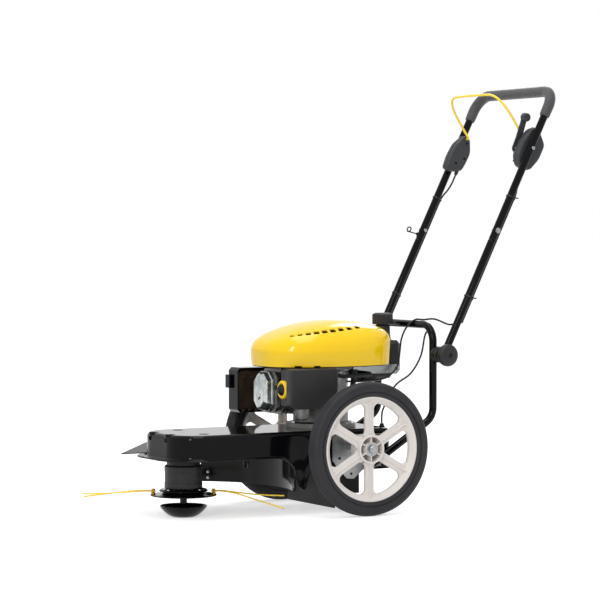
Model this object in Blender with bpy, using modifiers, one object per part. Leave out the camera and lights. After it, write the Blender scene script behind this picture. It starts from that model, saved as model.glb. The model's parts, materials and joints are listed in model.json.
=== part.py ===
"""Walk-behind petrol string trimmer mower on two spoked wheels.

A pressed steel deck reaches forward from the wheels. The engine stands on it over the
axle and turns, by a belt inside the deck, a spindle that carries the line head. A free
turning dish under the head slides on the ground. The handle folds about two ratchet
joints on a tubular hoop behind the engine.

Everything is in metres. Inside the model +Y points back to the person who pushes it,
+X is the machine's left, Z = 0 is the ground, and Y = 0 is the wheel axle; the empty
"mower" then moves the whole so that the frame's origin is under its middle.
"""

import bpy
import bmesh
from math import acos, cos, pi, radians, sin, sqrt
from mathutils import Matrix, Vector

# The frame and the fits
AXLE_Y = -0.047            # the axle's place ahead of the frame's middle
SEAT = 0.0003              # gap between pieces that touch
RUN = 0.0005               # gap between pieces that turn in each other
SHEET = 0.0025             # pressed steel sheet

# Wheels, 14 inch
WHEEL_D = 0.356
TRACK = 0.4692             # between the tyres' middles
TYRE_W = 0.042
TYRE_H = 0.039             # tread down to the bead
RIM_W = 0.034
RIM_BAND = 0.020           # the rim's ring, radially
SPOKES = 6
SPOKE_W = 0.026
SPOKE_T = 0.010
HUB_R = 0.038
HUB_W = 0.046
HUB_WALL = 0.005
BOSS_R = 0.0185
AXLE_D = 0.0135
NUT_T = 0.011
NUT_R = 0.0115

# Deck, a pressed shell that is open below
DECK_TOP = 0.0445          # above the axle
DECK_W = 0.260
DECK_FRONT = 0.505         # ahead of the axle
DECK_REAR = 0.140          # behind the axle
DECK_DEPTH = 0.0645        # top down to the flange
DECK_CORNER = 0.085
DECK_HEEL = 0.030          # radius of the two rear corners
FLANGE_W = 0.027
SKIRT_DEPTH = 0.110        # the same beside the wheels
LIP_DEPTH = 0.158          # the rolled tongue in front of the wheels
LIP_Y = -0.143             # its middle
LIP_W = 0.024

# Spindle, line head and ground dish
HEAD_BACK = 0.075          # behind the deck's front edge
HOUSING_R = 0.050
HOUSING_H = 0.062
NECK_R = 0.044
HEAD_Z = 0.0686            # upper plate's underside above the ground
PLATE_R = 0.065
PLATE_T = 0.005
DISC_R = 0.088
DISC_Z = 0.0560
DISC_T = 0.004
SPINDLE_D = 0.020
DISH_R = 0.0633
DISH_H = 0.030
DISH_FOOT_R = 0.0305
DISH_WALL = 0.003
POST_REACH = 0.080         # line posts, from the spindle
POST_R = 0.006
LINE_D = 0.0039
LINE_REACH = 0.266
MOUNT_FRONT_X = 0.046      # front housing bolts, each side of the middle
MOUNT_FRONT = 0.0625       # and ahead of the spindle
MOUNT_REAR_X = 0.076       # rear ones, each side of the middle
MOUNT_REAR = 0.022         # and behind it
POST_D = 0.013             # the posts they screw into
RECESS_R = 0.0135
RECESS_DEPTH = 0.008
BOLT_R = 0.004             # shanks through the deck
BORE_ROOM = 0.005          # and their bores

# String guard, under the deck round the line's circle
GUARD_GAP = 0.026          # outside the circle of the line
GUARD_T = 0.004
GUARD_LOW = 0.063
GUARD_STEP = 0.008
GUARD_LINK = 0.042         # height of the step, which passes under the deck's lip
GUARD_TURN = -30.0         # degrees, where the wing steps out
GUARD_END = -54.0          # degrees, its far end

# Belt drive inside the deck
ENGINE_Y = -0.012
BELT_Z = -0.0345           # under the deck top
BELT_W = 0.009
BELT_T = 0.006
DRIVE_R = 0.032
DRIVEN_R = 0.042
CRANK_D = 0.025
IDLER_R = 0.018
IDLER_LIFT = 0.006         # off the belt at rest

# Engine
FLANGE_R = 0.095
CASE_R = 0.075
CASE_H = 0.1665
CASE_TOP_R = 0.085
CASE_SIDES = 18
CYL_X = -0.008
CYL_Z = 0.100              # above the deck top
CYL_END = 0.160            # ahead of the crank
FINS = 6
FIN_HALF = 0.058
BARREL_HALF = 0.044
COVER_W = 0.075
COVER_H = 0.108
COVER_D = 0.028
SHROUD_HALF_X = 0.138
SHROUD_HALF_Y = 0.192
SHROUD_SKIRT = 0.046
SHROUD_RISE = 0.074        # from the crease to the crown
SHROUD_CLIMB = 0.026       # of the crease, from the middle to the back
SHROUD_WALL = 0.003
SLOTS = 9
FAN_R = 0.095
FAN_VANES = 9

# Boxes on the engine's two sides
CLEANER_IN = 0.075
CLEANER_SPLIT = 0.1265
CLEANER_OUT = 0.157
CLEANER_FRONT = -0.191
CLEANER_REAR = -0.047
CLEANER_LOW = 0.0605       # above the deck top
CLEANER_HIGH = 0.1665
MUFFLER_IN = 0.140
MUFFLER_OUT = 0.200
MUFFLER_FRONT = -0.193
MUFFLER_REAR = -0.062
MUFFLER_LOW = 0.0340
MUFFLER_HIGH = 0.1570
MUFFLER_WALL = 0.0020

# Hoop and handle
TUBE_D = 0.021
TUBE_WALL = 0.003
HOOP_Y = 0.258
HOOP_TOP = 0.2745          # crossbar above the deck top
HOOP_BEND = 0.045
HOOP_KNEE = 0.0165         # the lower bend above the deck top
PLATE_TH = 0.003
PIVOT_Z = 0.1955           # above the deck top
HANDLE_X = 0.187
HANDLE_ANGLE = 63.3        # degrees from level
HANDLE_MID = 0.377         # pivot to the bolted joint
HANDLE_LEN = 0.810         # pivot to the crossbar
HANDLE_BEND = 0.050
GRIP_D = 0.032
GRIP_DROP = 0.080          # foam down each leg
RATCHET_R = 0.022
TEETH = 12
TOOTH = 0.0025
RATCHET_ROOT = 0.003       # how deep a disc is let into its tube
KNOB_R = 0.0305
KNOB_T = 0.0225
STUD_D = 0.008

# Controls
CONTROL_W = 0.030          # housings, from the tube inward
CONTROL_BOLT = 0.631       # their bolt, along the handle
CONTROL_BOLT_R = 0.0025
NOSE_LOW = 0.562           # the cable's entry
NOSE_AHEAD = -0.012
BAIL_D = 0.0065
BAIL_AT = 0.666            # its hinge along the handle
BAIL_AHEAD = 0.008         # and ahead of the tubes
BAIL_REACH = 0.140
BAIL_LEAN = 61.0           # degrees ahead of the handle at rest
LEVER_AT = 0.622
LEVER_AHEAD = 0.018
LEVER_L = 0.091
LEVER_LEAN = 8.0
LEVER_T = 0.004
CABLE_D = 0.005
CABLE_SPLIT = 0.115        # where the cables leave the tubes

AXLE_Z = WHEEL_D / 2
TOP = AXLE_Z + DECK_TOP
FLANGE_Z = TOP - DECK_DEPTH
SKIRT_Z = TOP - SKIRT_DEPTH
LIP_Z = TOP - LIP_DEPTH
HALF = DECK_W / 2
WHEEL_X = TRACK / 2
RIM_R = WHEEL_D / 2 - TYRE_H
HOOP_X = HALF + PLATE_TH + 2 * SEAT + TUBE_D / 2
PIVOT_Y = HOOP_Y + 0.0075
PIVOT = Vector((0, PIVOT_Y, TOP + PIVOT_Z))
ALONG = Vector((0, cos(radians(HANDLE_ANGLE)), sin(radians(HANDLE_ANGLE))))
FRONT = Vector((0, -ALONG.z, ALONG.y))
HEAD_Y = HEAD_BACK - DECK_FRONT
GUARD_R = LINE_REACH + GUARD_GAP
BELT_MID = TOP + BELT_Z
KNOB_X = HANDLE_X + TUBE_D / 2 + SEAT
CABLE_AHEAD = -(TUBE_D + CABLE_D) / 2 - SEAT
CONTROL_FACE = HANDLE_X - TUBE_D / 2 - SEAT
CONTROL_IN = CONTROL_FACE - CONTROL_W

X_AXIS = Vector((1, 0, 0))
Y_AXIS = Vector((0, 1, 0))
Z_AXIS = Vector((0, 0, 1))


# Scene set-up

for old in list(bpy.data.objects):
    bpy.data.objects.remove(old, do_unlink=True)

parts = bpy.data.collections.new("string_trimmer_mower")
cutters = bpy.data.collections.new("cutters")
bpy.context.scene.collection.children.link(parts)
bpy.context.scene.collection.children.link(cutters)


def pivot(name, at, parent=None):
    """An empty on a joint's axis, given in the axle's frame."""
    empty = bpy.data.objects.new(name, None)
    parts.objects.link(empty)
    empty.location = at
    empty["at"] = tuple(at)
    if parent:
        empty.parent = parent
        if parent.parent:
            empty.location = Vector(at) - Vector(parent["at"])
    return empty


mower = pivot("mower", (0, AXLE_Y, 0))


def material(name, colour, roughness, metallic=0.0):
    """A Principled finish; the colour is given as it looks, in 0 to 255."""
    mat = bpy.data.materials.new(name)
    mat.use_nodes = True
    shader = mat.node_tree.nodes["Principled BSDF"]
    linear = [(c / 255) ** 2.2 for c in colour]
    shader.inputs["Base Color"].default_value = (*linear, 1)
    shader.inputs["Roughness"].default_value = roughness
    shader.inputs["Metallic"].default_value = metallic
    return mat


BLACK_PAINT = material("gloss_black_paint", (12, 12, 15), 0.15)
YELLOW_PLASTIC = material("yellow_plastic", (255, 213, 30), 0.25)
DARK_PLASTIC = material("dark_plastic", (48, 47, 50), 0.5)
GREY_PLASTIC = material("grey_plastic", (72, 74, 78), 0.5)
WHEEL_PLASTIC = material("wheel_plastic", (214, 208, 203), 0.45)
TYRE_RUBBER = material("tyre_rubber", (60, 58, 62), 0.75)
FOAM = material("foam", (84, 84, 87), 0.9)
ZINC = material("zinc_plate", (168, 172, 168), 0.35, 0.9)
CAST = material("cast_aluminium", (150, 150, 148), 0.45, 0.8)
STEEL = material("bright_steel", (205, 205, 205), 0.25, 1.0)
HOT_STEEL = material("muffler_steel", (62, 58, 54), 0.6, 0.7)
RUBBER = material("black_rubber", (26, 26, 28), 0.7)
LINE_NYLON = material("line_nylon", (245, 196, 40), 0.4)


# Making shapes

def guide(obj):
    """Cutters, and pieces that are joined to others, are kept apart and unseen."""
    cutters.objects.link(obj)
    obj.parent = mower
    obj.hide_render = True
    obj.display_type = "WIRE"
    return obj


def put(obj, name, finish, hinge=None):
    """Name a finished piece, give it its material and hang it on its pivot."""
    obj.name = name
    obj.data.name = name
    obj.data.materials.clear()
    obj.data.materials.append(finish)
    parts.objects.link(obj)
    obj.parent = hinge or mower
    if hinge:
        obj.location = obj.location - Vector(hinge["at"])
    return obj


def from_bmesh(bm, smooth=30.0):
    """A new object from a bmesh, with its round faces shaded smooth."""
    mesh = bpy.data.meshes.new("shape")
    bm.to_mesh(mesh)
    bm.free()
    mesh.shade_smooth()
    mesh.set_sharp_from_angle(angle=radians(smooth))
    return bpy.data.objects.new("shape", mesh)


def block(low, high, bevel=0.0, segments=1):
    """A box between two corners, with an even bevel."""
    low, high = Vector(low), Vector(high)
    bm = bmesh.new()
    bmesh.ops.create_cube(bm, size=1)
    bmesh.ops.scale(bm, vec=high - low, verts=bm.verts)
    bmesh.ops.translate(bm, vec=(low + high) / 2, verts=bm.verts)
    obj = from_bmesh(bm)
    if bevel:
        soften(obj, bevel, segments)
    return obj


def soften(obj, width, segments=1):
    """Bevel every edge that turns by more than 30 degrees."""
    mod = obj.modifiers.new("bevel", "BEVEL")
    mod.width = width
    mod.segments = segments
    mod.limit_method = "ANGLE"
    mod.angle_limit = radians(30)


def turn_to(axis):
    """The rotation that takes +Z onto an axis."""
    return Z_AXIS.rotation_difference(Vector(axis).normalized())


def rods(runs, radius, sides=12, tip=None):
    """Straight round bars, each between two points, as one group."""
    bm = bmesh.new()
    for start, end in runs:
        start, end = Vector(start), Vector(end)
        place = Matrix.Translation((start + end) / 2)
        place = place @ turn_to(end - start).to_matrix().to_4x4()
        bmesh.ops.create_cone(
            bm, cap_ends=True, segments=sides, radius1=radius,
            radius2=radius if tip is None else tip,
            depth=(end - start).length, matrix=place)
    return from_bmesh(bm)


def turned(profile, centre, axis=Z_AXIS, steps=32, loop=False):
    """A turned shape: (radius, height) points that run down the outer side."""
    bm = bmesh.new()
    verts = [bm.verts.new((r, 0, h)) for r, h in profile]
    for a, b in zip(verts, verts[1:]):
        bm.edges.new((a, b))
    if loop:
        bm.edges.new((verts[-1], verts[0]))
    obj = from_bmesh(bm)
    mod = obj.modifiers.new("turn", "SCREW")
    mod.steps = steps
    mod.render_steps = steps
    mod.use_merge_vertices = True
    mod.merge_threshold = 0.00001
    mod.use_smooth_shade = True
    obj.location = centre
    obj.rotation_mode = "QUATERNION"
    obj.rotation_quaternion = turn_to(axis)
    return obj


def as_mesh(obj):
    """The evaluated object as a plain mesh, its caps welded."""
    bpy.context.scene.collection.objects.link(obj)
    bpy.context.view_layer.update()
    graph = bpy.context.evaluated_depsgraph_get()
    mesh = bpy.data.meshes.new_from_object(obj.evaluated_get(graph))
    matrix = obj.matrix_world.copy()
    bpy.data.objects.remove(obj, do_unlink=True)
    bm = bmesh.new()
    bm.from_mesh(mesh)
    bmesh.ops.remove_doubles(bm, verts=bm.verts, dist=0.00001)
    bmesh.ops.recalc_face_normals(bm, faces=bm.faces)
    bm.to_mesh(mesh)
    bm.free()
    mesh.shade_smooth()
    mesh.set_sharp_from_angle(angle=radians(35))
    solid = bpy.data.objects.new("shape", mesh)
    solid.matrix_world = matrix
    return solid


def pipes(routes, radius, resolution=2, cyclic=False):
    """Round tubes or cables along routes of points, as one group."""
    curve = bpy.data.curves.new("route", "CURVE")
    curve.dimensions = "3D"
    curve.bevel_depth = radius
    curve.bevel_resolution = resolution
    curve.use_fill_caps = True
    for points in routes:
        spline = curve.splines.new("POLY")
        spline.points.add(len(points) - 1)
        for knot, point in zip(spline.points, points):
            knot.co = (*point, 1)
        spline.use_cyclic_u = cyclic
    return as_mesh(bpy.data.objects.new("route", curve))


def sheet(outlines, thickness, place=Matrix.Identity(4)):
    """A flat plate from an outline and its holes, in a plane's own x and y."""
    curve = bpy.data.curves.new("outline", "CURVE")
    curve.dimensions = "2D"
    curve.fill_mode = "BOTH"
    curve.extrude = thickness / 2
    for points in outlines:
        spline = curve.splines.new("POLY")
        spline.points.add(len(points) - 1)
        for knot, (x, y) in zip(spline.points, points):
            knot.co = (x, y, 0, 1)
        spline.use_cyclic_u = True
    obj = bpy.data.objects.new("outline", curve)
    obj.matrix_world = place
    return as_mesh(obj)


def side_plane(x):
    """Outline x is the mower's Y and outline y its Z, on the plane X = x."""
    return Matrix(((0, 0, 1, x), (1, 0, 0, 0), (0, 1, 0, 0), (0, 0, 0, 1)))


def level_plane(z):
    """Outline x and y are the mower's own, on the plane Z = z."""
    return Matrix.Translation((0, 0, z))


def loft(rings, ends=(True, True)):
    """Quads between rings of equally many points, with flat ends where asked."""
    bm = bmesh.new()
    rows = [[bm.verts.new(p) for p in ring] for ring in rings]
    count = len(rings[0])
    for lower, upper in zip(rows, rows[1:]):
        for i in range(count):
            j = (i + 1) % count
            bm.faces.new((lower[i], lower[j], upper[j], upper[i]))
    if ends[0]:
        bm.faces.new(list(reversed(rows[0])))
    if ends[1]:
        bm.faces.new(rows[-1])
    if ends == (True, True):
        bmesh.ops.recalc_face_normals(bm, faces=bm.faces)
    return from_bmesh(bm)


def combine(obj, other, operation):
    """Join another shape to this one, or cut it away."""
    guide(other)
    mod = obj.modifiers.new(operation.lower(), "BOOLEAN")
    mod.operation = operation
    mod.object = other
    mod.solver = "EXACT"
    return obj


def join(obj, *others):
    for other in others:
        combine(obj, other, "UNION")
    return obj


def cut(obj, *others):
    for other in others:
        combine(obj, other, "DIFFERENCE")
    return obj


def thicken(obj, wall):
    """Give an open surface its wall, on the inner side."""
    mod = obj.modifiers.new("wall", "SOLIDIFY")
    mod.thickness = wall
    mod.offset = -1
    mod.use_even_offset = True
    return obj


def mirrored(points):
    return [Vector((-p[0], p[1], p[2])) for p in points]


# Outlines and routes

def arc(cx, cy, radius, start, end, count):
    """Points on a round arc, its angles in degrees."""
    step = radians(end - start) / count
    base = radians(start)
    return [(cx + radius * cos(base + step * i), cy + radius * sin(base + step * i))
            for i in range(count + 1)]


def circle(cx, cy, radius, count=16):
    return arc(cx, cy, radius, 0, 360, count)[:-1]


def rounded_box(half_x, half_y, radius, count=3, cx=0.0, cy=0.0):
    """A rectangle with round corners."""
    inner_x, inner_y = half_x - radius, half_y - radius
    points = []
    for sx, sy, start in ((1, 1, 0), (-1, 1, 90), (-1, -1, 180), (1, -1, 270)):
        points += arc(cx + sx * inner_x, cy + sy * inner_y, radius, start, start + 90, count)
    return points


def bent(points, radii, count=5):
    """A route of straight runs whose corners are round bends, each of its own radius."""
    points = [Vector(p) for p in points]
    route = [points[0]]
    for before, corner, after, radius in zip(points, points[1:], points[2:], radii):
        a = (before - corner).normalized()
        b = (after - corner).normalized()
        half = acos(max(-1, min(1, a.dot(b)))) / 2
        reach = radius / (sin(half) / cos(half))
        centre = corner + (a + b).normalized() * (radius / sin(half))
        first, last = corner + a * reach - centre, corner + b * reach - centre
        sweep = first.angle(last)
        for i in range(count + 1):
            t = i / count
            mix = (first * sin((1 - t) * sweep) + last * sin(t * sweep)) / sin(sweep)
            route.append(centre + mix)
    route.append(points[-1])
    return route


def flowing(points, count):
    """A smooth curve through a route's own points."""
    points = [Vector(p) for p in points]
    ends = [2 * points[0] - points[1]] + points + [2 * points[-1] - points[-2]]
    route = []
    for a, b, c, d in zip(ends, ends[1:], ends[2:], ends[3:]):
        for i in range(count):
            t = i / count
            route.append(0.5 * (2 * b + (c - a) * t + (2 * a - 5 * b + 4 * c - d) * t ** 2
                                + (3 * b - a - 3 * c + d) * t ** 3))
    route.append(points[-1])
    return route


def handle_point(distance, x=0.0, ahead=0.0):
    """A point along the handle from its pivot, and ahead of the tubes' middle."""
    return PIVOT + ALONG * distance + FRONT * ahead + X_AXIS * x


# Wheels

BORE_R = AXLE_D / 2 + RUN
HUB_IN = WHEEL_X - HUB_W / 2 - 0.0065
HUB_OUT = HUB_IN + HUB_W


def tyre(x):
    """A tyre with a low crown, a stepped sidewall and beads on the rim."""
    half = TYRE_W / 2
    outer, inner = WHEEL_D / 2, RIM_R + SEAT
    profile = [
        (outer - 0.0085, half), (outer, half - 0.0095), (outer, -half + 0.0095),
        (outer - 0.0085, -half), (inner + 0.010, -half + 0.001), (inner, -half + 0.004),
        (inner, half - 0.004), (inner + 0.010, half - 0.001)]
    return turned(profile, (x, 0, AXLE_Z), X_AXIS, 28, loop=True)


def window():
    """One opening between two spokes, pointing along +x, with round corners."""
    outer = RIM_R - RIM_BAND
    inner = HUB_R + 0.006
    half = pi / SPOKES
    side = SPOKE_W / 2

    def edge(radius):
        """Angle at which the spoke's straight side crosses a radius."""
        return half - (side / radius if side < radius else 1)

    points = []
    soft = 0.012
    wide, narrow = edge(outer), edge(inner + soft)
    for i in range(-2, 3):
        angle = wide * 0.88 * i / 2
        points.append((outer * cos(angle), outer * sin(angle)))
    points.append(((outer - soft) * cos(edge(outer - soft)),
                   (outer - soft) * sin(edge(outer - soft))))
    points.append(((inner + soft) * cos(narrow), (inner + soft) * sin(narrow)))
    for i in (1, -1):
        angle = edge(inner) * 0.45 * i
        points.append((inner * cos(angle), inner * sin(angle)))
    points.append(((inner + soft) * cos(narrow), -(inner + soft) * sin(narrow)))
    points.append(((outer - soft) * cos(edge(outer - soft)),
                   -(outer - soft) * sin(edge(outer - soft))))
    return points


def rim(x):
    """Ring, six ribbed spokes and a hub with open pockets, as one moulding."""
    way = 1 if x > 0 else -1
    half = RIM_W / 2
    ring = turned(
        [(RIM_R, half), (RIM_R, -half), (RIM_R - 0.004, -half),
         (RIM_R - RIM_BAND + 0.003, -0.004), (RIM_R - RIM_BAND + 0.003, 0.004),
         (RIM_R - 0.004, half)],
        (x, 0, AXLE_Z), X_AXIS, 28, loop=True)
    opening = window()
    outlines = [circle(0, 0, RIM_R - 0.006, 24), circle(0, 0, HUB_R - HUB_WALL / 2, 12)]
    for k in range(SPOKES):
        spin = 2 * pi * (k + 0.5) / SPOKES + pi / 2
        outlines.append([(a * cos(spin) - b * sin(spin), a * sin(spin) + b * cos(spin))
                         for a, b in opening])
    web = sheet(outlines, SPOKE_T, Matrix.Translation((0, 0, AXLE_Z)) @ side_plane(x))
    hub_mid = way * (HUB_IN + HUB_OUT) / 2
    hub = turned(
        [(HUB_R, HUB_W / 2), (HUB_R, -HUB_W / 2), (HUB_R - HUB_WALL, -HUB_W / 2),
         (HUB_R - HUB_WALL, HUB_W / 2)],
        (hub_mid, 0, AXLE_Z), X_AXIS, 12, loop=True)
    boss = turned(
        [(BOSS_R, HUB_W / 2), (BOSS_R, -HUB_W / 2), (BORE_R, -HUB_W / 2),
         (BORE_R, HUB_W / 2)],
        (hub_mid, 0, AXLE_Z), X_AXIS, 12, loop=True)
    ribs = []
    for k in range(SPOKES):
        spin = Matrix.Translation((0, 0, AXLE_Z)) @ Matrix.Rotation(2 * pi * k / SPOKES, 4, "X")
        spoke = block((x - SPOKE_T / 2 - 0.004, -0.0022, HUB_R - 0.001),
                      (x + SPOKE_T / 2 + 0.004, 0.0022, RIM_R - RIM_BAND + 0.002))
        spoke.data.transform(spin)
        pocket = block((hub_mid - HUB_W / 2 + 0.002, -0.0015, BOSS_R - 0.002),
                       (hub_mid + HUB_W / 2 - 0.002, 0.0015, HUB_R - HUB_WALL + 0.001))
        pocket.data.transform(spin)
        ribs += [spoke, pocket]
    return join(ring, web, hub, boss, *ribs)


def stub_axle(way):
    """Head inside the deck wall, shoulder, shaft, and the washer and lock nut on its end."""
    radius = AXLE_D / 2
    head = HALF - SHEET - 0.0012
    shoulder = HALF + SEAT + PLATE_TH - 0.0005
    first = HUB_OUT + SEAT
    shaft = turned(
        [(0, HUB_OUT + NUT_T), (radius, HUB_OUT + NUT_T), (radius, HUB_IN - RUN),
         (radius + 0.0035, HUB_IN - RUN), (radius + 0.0035, shoulder),
         (radius, shoulder), (radius, head), (radius + 0.006, head),
         (radius + 0.006, head - 0.007), (0, head - 0.007)],
        (0, 0, AXLE_Z), X_AXIS * way, 12)
    washer = rods([((way * first, 0, AXLE_Z), (way * (first + 0.0015), 0, AXLE_Z))], BOSS_R - 0.001, 12)
    nut = turned(
        [(0, first + 0.0095), (NUT_R * 0.82, first + 0.0095), (NUT_R, first + 0.0075),
         (NUT_R, first + 0.001), (0, first + 0.001)],
        (0, 0, AXLE_Z), X_AXIS * way, 6)
    return join(shaft, washer, nut)


# Deck and what is bolted to it

def skirt_height(y):
    """The flange's height: level in front, down to the wheels behind, with the lip."""
    half = LIP_W / 2
    knots = [
        (LIP_Y - half - 0.075, FLANGE_Z), (LIP_Y - half - 0.048, FLANGE_Z - 0.004),
        (LIP_Y - half - 0.022, FLANGE_Z - 0.018), (LIP_Y - half - 0.006, FLANGE_Z - 0.040),
        (LIP_Y - half, LIP_Z + 0.014), (LIP_Y, LIP_Z),
        (LIP_Y + half, LIP_Z + 0.014), (LIP_Y + half + 0.003, SKIRT_Z)]
    if y <= knots[0][0]:
        return FLANGE_Z
    for (y0, z0), (y1, z1) in zip(knots, knots[1:]):
        if y <= y1 + 0.00001:
            return z0 + (z1 - z0) * (y - y0) / (y1 - y0)
    return SKIRT_Z


def flange_share(y):
    """How much of the flange is left: all of it in front, none behind the lip."""
    start, end = LIP_Y - LIP_W * 3.5, LIP_Y + LIP_W / 2
    if y >= end:
        return 0.0
    return max(0.3, min(1.0, (LIP_Y - LIP_W - y) / (LIP_Y - LIP_W - start)))


def deck_outline(reach):
    """The deck in plan, from the front round the left side to the back and the right."""
    half = LIP_W / 2
    side = [LIP_Y - half - 0.075, LIP_Y - half - 0.048, LIP_Y - half - 0.022,
            LIP_Y - half - 0.006, LIP_Y - half, LIP_Y, LIP_Y + half, LIP_Y + half + 0.003,
            DECK_REAR - DECK_HEEL - 0.01]
    nose = [(HALF - DECK_CORNER, -DECK_FRONT + DECK_CORNER, DECK_CORNER, a)
            for a in (-90, -72, -54, -36, -18, 0)]
    heel = [(HALF - DECK_HEEL, DECK_REAR - DECK_HEEL, DECK_HEEL, a) for a in (0, 30, 60, 90)]

    def corner(cx, cy, radius, angle):
        turn = radians(angle)
        out = reach(cy + radius * sin(turn))
        return cx + (radius + out) * cos(turn), cy + (radius + out) * sin(turn)

    left = [corner(*c) for c in nose] + [(HALF + reach(y), y) for y in side]
    left += [corner(*c) for c in heel]
    return left + [(-x, y) for x, y in reversed(left)]


def deck_surface():
    """The shell's outer face, from the flange's edge over the wall to the flat top."""
    rings = []
    for out, up, up_bare in ((FLANGE_W, 0.0, 0.0), (0.006, 0.0, 0.002), (0.0, 0.005, 0.005)):
        outline = deck_outline(lambda y: out * flange_share(y))
        rings.append([(x, y, skirt_height(y) + up_bare + (up - up_bare) * (flange_share(y) > 0))
                      for x, y in outline])
    return loft(rings + top_rings(), ends=(False, True))


def top_rings():
    """The three outlines that round the wall over into the flat top."""
    return [[(x, y, TOP - down) for x, y in deck_outline(lambda y: -inward)]
            for inward, down in ((0.001, 0.012), (0.0045, 0.0035), (0.013, 0.0))]


def deck_core():
    """The space under the deck's top, as a solid, down past the recesses."""
    low = [(x, y, TOP - 0.030) for x, y in deck_outline(lambda y: -0.0008)]
    return loft([low] + top_rings())


def mount_bolts():
    """Where the spindle housing is bolted to the deck top."""
    return [(side * x, HEAD_Y + y) for side in (1, -1)
            for x, y in ((MOUNT_FRONT_X, -MOUNT_FRONT), (MOUNT_REAR_X, MOUNT_REAR))]


def engine_bolts():
    """Three bolts through the crankcase flange."""
    reach = (FLANGE_R + CASE_R) / 2
    return [(reach * cos(radians(a)), ENGINE_Y + reach * sin(radians(a)))
            for a in (35, 145, 270)]


def deck():
    """The pressed shell with its bolt recesses, bores and the axle's holes."""
    shell = thicken(deck_surface(), SHEET)
    under = TOP - SHEET / 2
    cups = rods([((x, y, TOP - RECESS_DEPTH - SHEET), (x, y, under))
                 for x, y in mount_bolts()], RECESS_R + SHEET, 10)
    combine(cups, deck_core(), "INTERSECT")
    join(shell, cups)
    recesses = rods([((x, y, TOP - RECESS_DEPTH), (x, y, TOP + 0.01))
                     for x, y in mount_bolts()], RECESS_R, 10)
    bores = rods([((x, y, TOP - 0.02), (x, y, TOP + 0.02))
                  for x, y in mount_bolts() + engine_bolts()], BORE_ROOM, 6)
    tool_hole = rods([((0, HEAD_Y, TOP - 0.02), (0, HEAD_Y, TOP + 0.02))], 0.003, 4)
    crank = rods([((0, ENGINE_Y, TOP - 0.02), (0, ENGINE_Y, TOP + 0.02))], 0.020, 16)
    axle = rods([((-HALF - 0.01, 0, AXLE_Z), (HALF + 0.01, 0, AXLE_Z))],
                AXLE_D / 2 + 2 * SEAT, 12)
    cut(shell, recesses, bores, tool_hole, crank, axle)
    return join(shell, cable_gland(), arm_stud())


PLATE_FRONT = -0.052
PLATE_REAR = 0.100


def axle_plate(way):
    """A zinc plate outside the deck wall that holds the stub axle."""
    low = SKIRT_Z - 0.023
    outline = [(PLATE_FRONT, TOP - 0.014), (PLATE_REAR, TOP - 0.014),
               (PLATE_REAR, SKIRT_Z + 0.008), (0.050, SKIRT_Z + 0.006),
               (0.014, low), (-0.008, low + 0.002), (PLATE_FRONT, SKIRT_Z + 0.028)]
    holes = [circle(-0.030, AXLE_Z - 0.032, 0.0045, 6), circle(0.006, low + 0.014, 0.004, 6)]
    x = HALF + SEAT + PLATE_TH / 2
    return join(sheet([outline] + holes, PLATE_TH, side_plane(way * x)), stub_axle(way))


FOOT = Vector((HOOP_X, 0.052, SKIRT_Z + 0.006))


def hoop_frame():
    """The bent tube behind the engine that carries the handle."""
    knee = Vector((HOOP_X, HOOP_Y, TOP + HOOP_KNEE + 0.008))
    top = Vector((HOOP_X, HOOP_Y, TOP + HOOP_TOP))
    corners = [knee, top] + mirrored([top, knee])
    past = (FOOT - knee).normalized() * TUBE_D
    ends = [FOOT, mirrored([FOOT])[0]], [FOOT + past, mirrored([FOOT + past])[0]]
    routes = [bent([first] + corners + [last], [HOOP_BEND] * 4, 4) for first, last in ends]
    tube = cut(pipes(routes[:1], TUBE_D / 2), pipes(routes[1:], TUBE_D / 2 - TUBE_WALL))
    return join(tube, *hoop_ratchets(), *pivot_bolts())


def side_plate():
    """A three-cornered guard plate that rises outward from the right flange."""
    inner = -HALF - 0.008
    tip = Vector((inner, -DECK_FRONT - 0.043, FLANGE_Z + SEAT))
    rise = radians(9)
    out = Vector((-cos(rise), 0, sin(rise)))
    reach = 0.112
    back = -DECK_FRONT + 0.243
    outline = [(0, 0), (reach, 0.130), (reach, back - tip.y + 0.008), (0, back - tip.y + 0.034)]
    place = Matrix((
        (out.x, 0, -sin(rise), tip.x), (0, 1, 0, tip.y),
        (out.z, 0, -cos(rise), tip.z + SHEET / 2 / cos(rise)), (0, 0, 0, 1)))
    return sheet([outline], SHEET, place)


def guard_arc(radius, start, end, count):
    """Points round the spindle; 0 degrees points back, positive to the left."""
    return [(radius * sin(radians(start + (end - start) * i / count)),
             HEAD_Y + radius * cos(radians(start + (end - start) * i / count)))
            for i in range(count + 1)]


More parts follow.
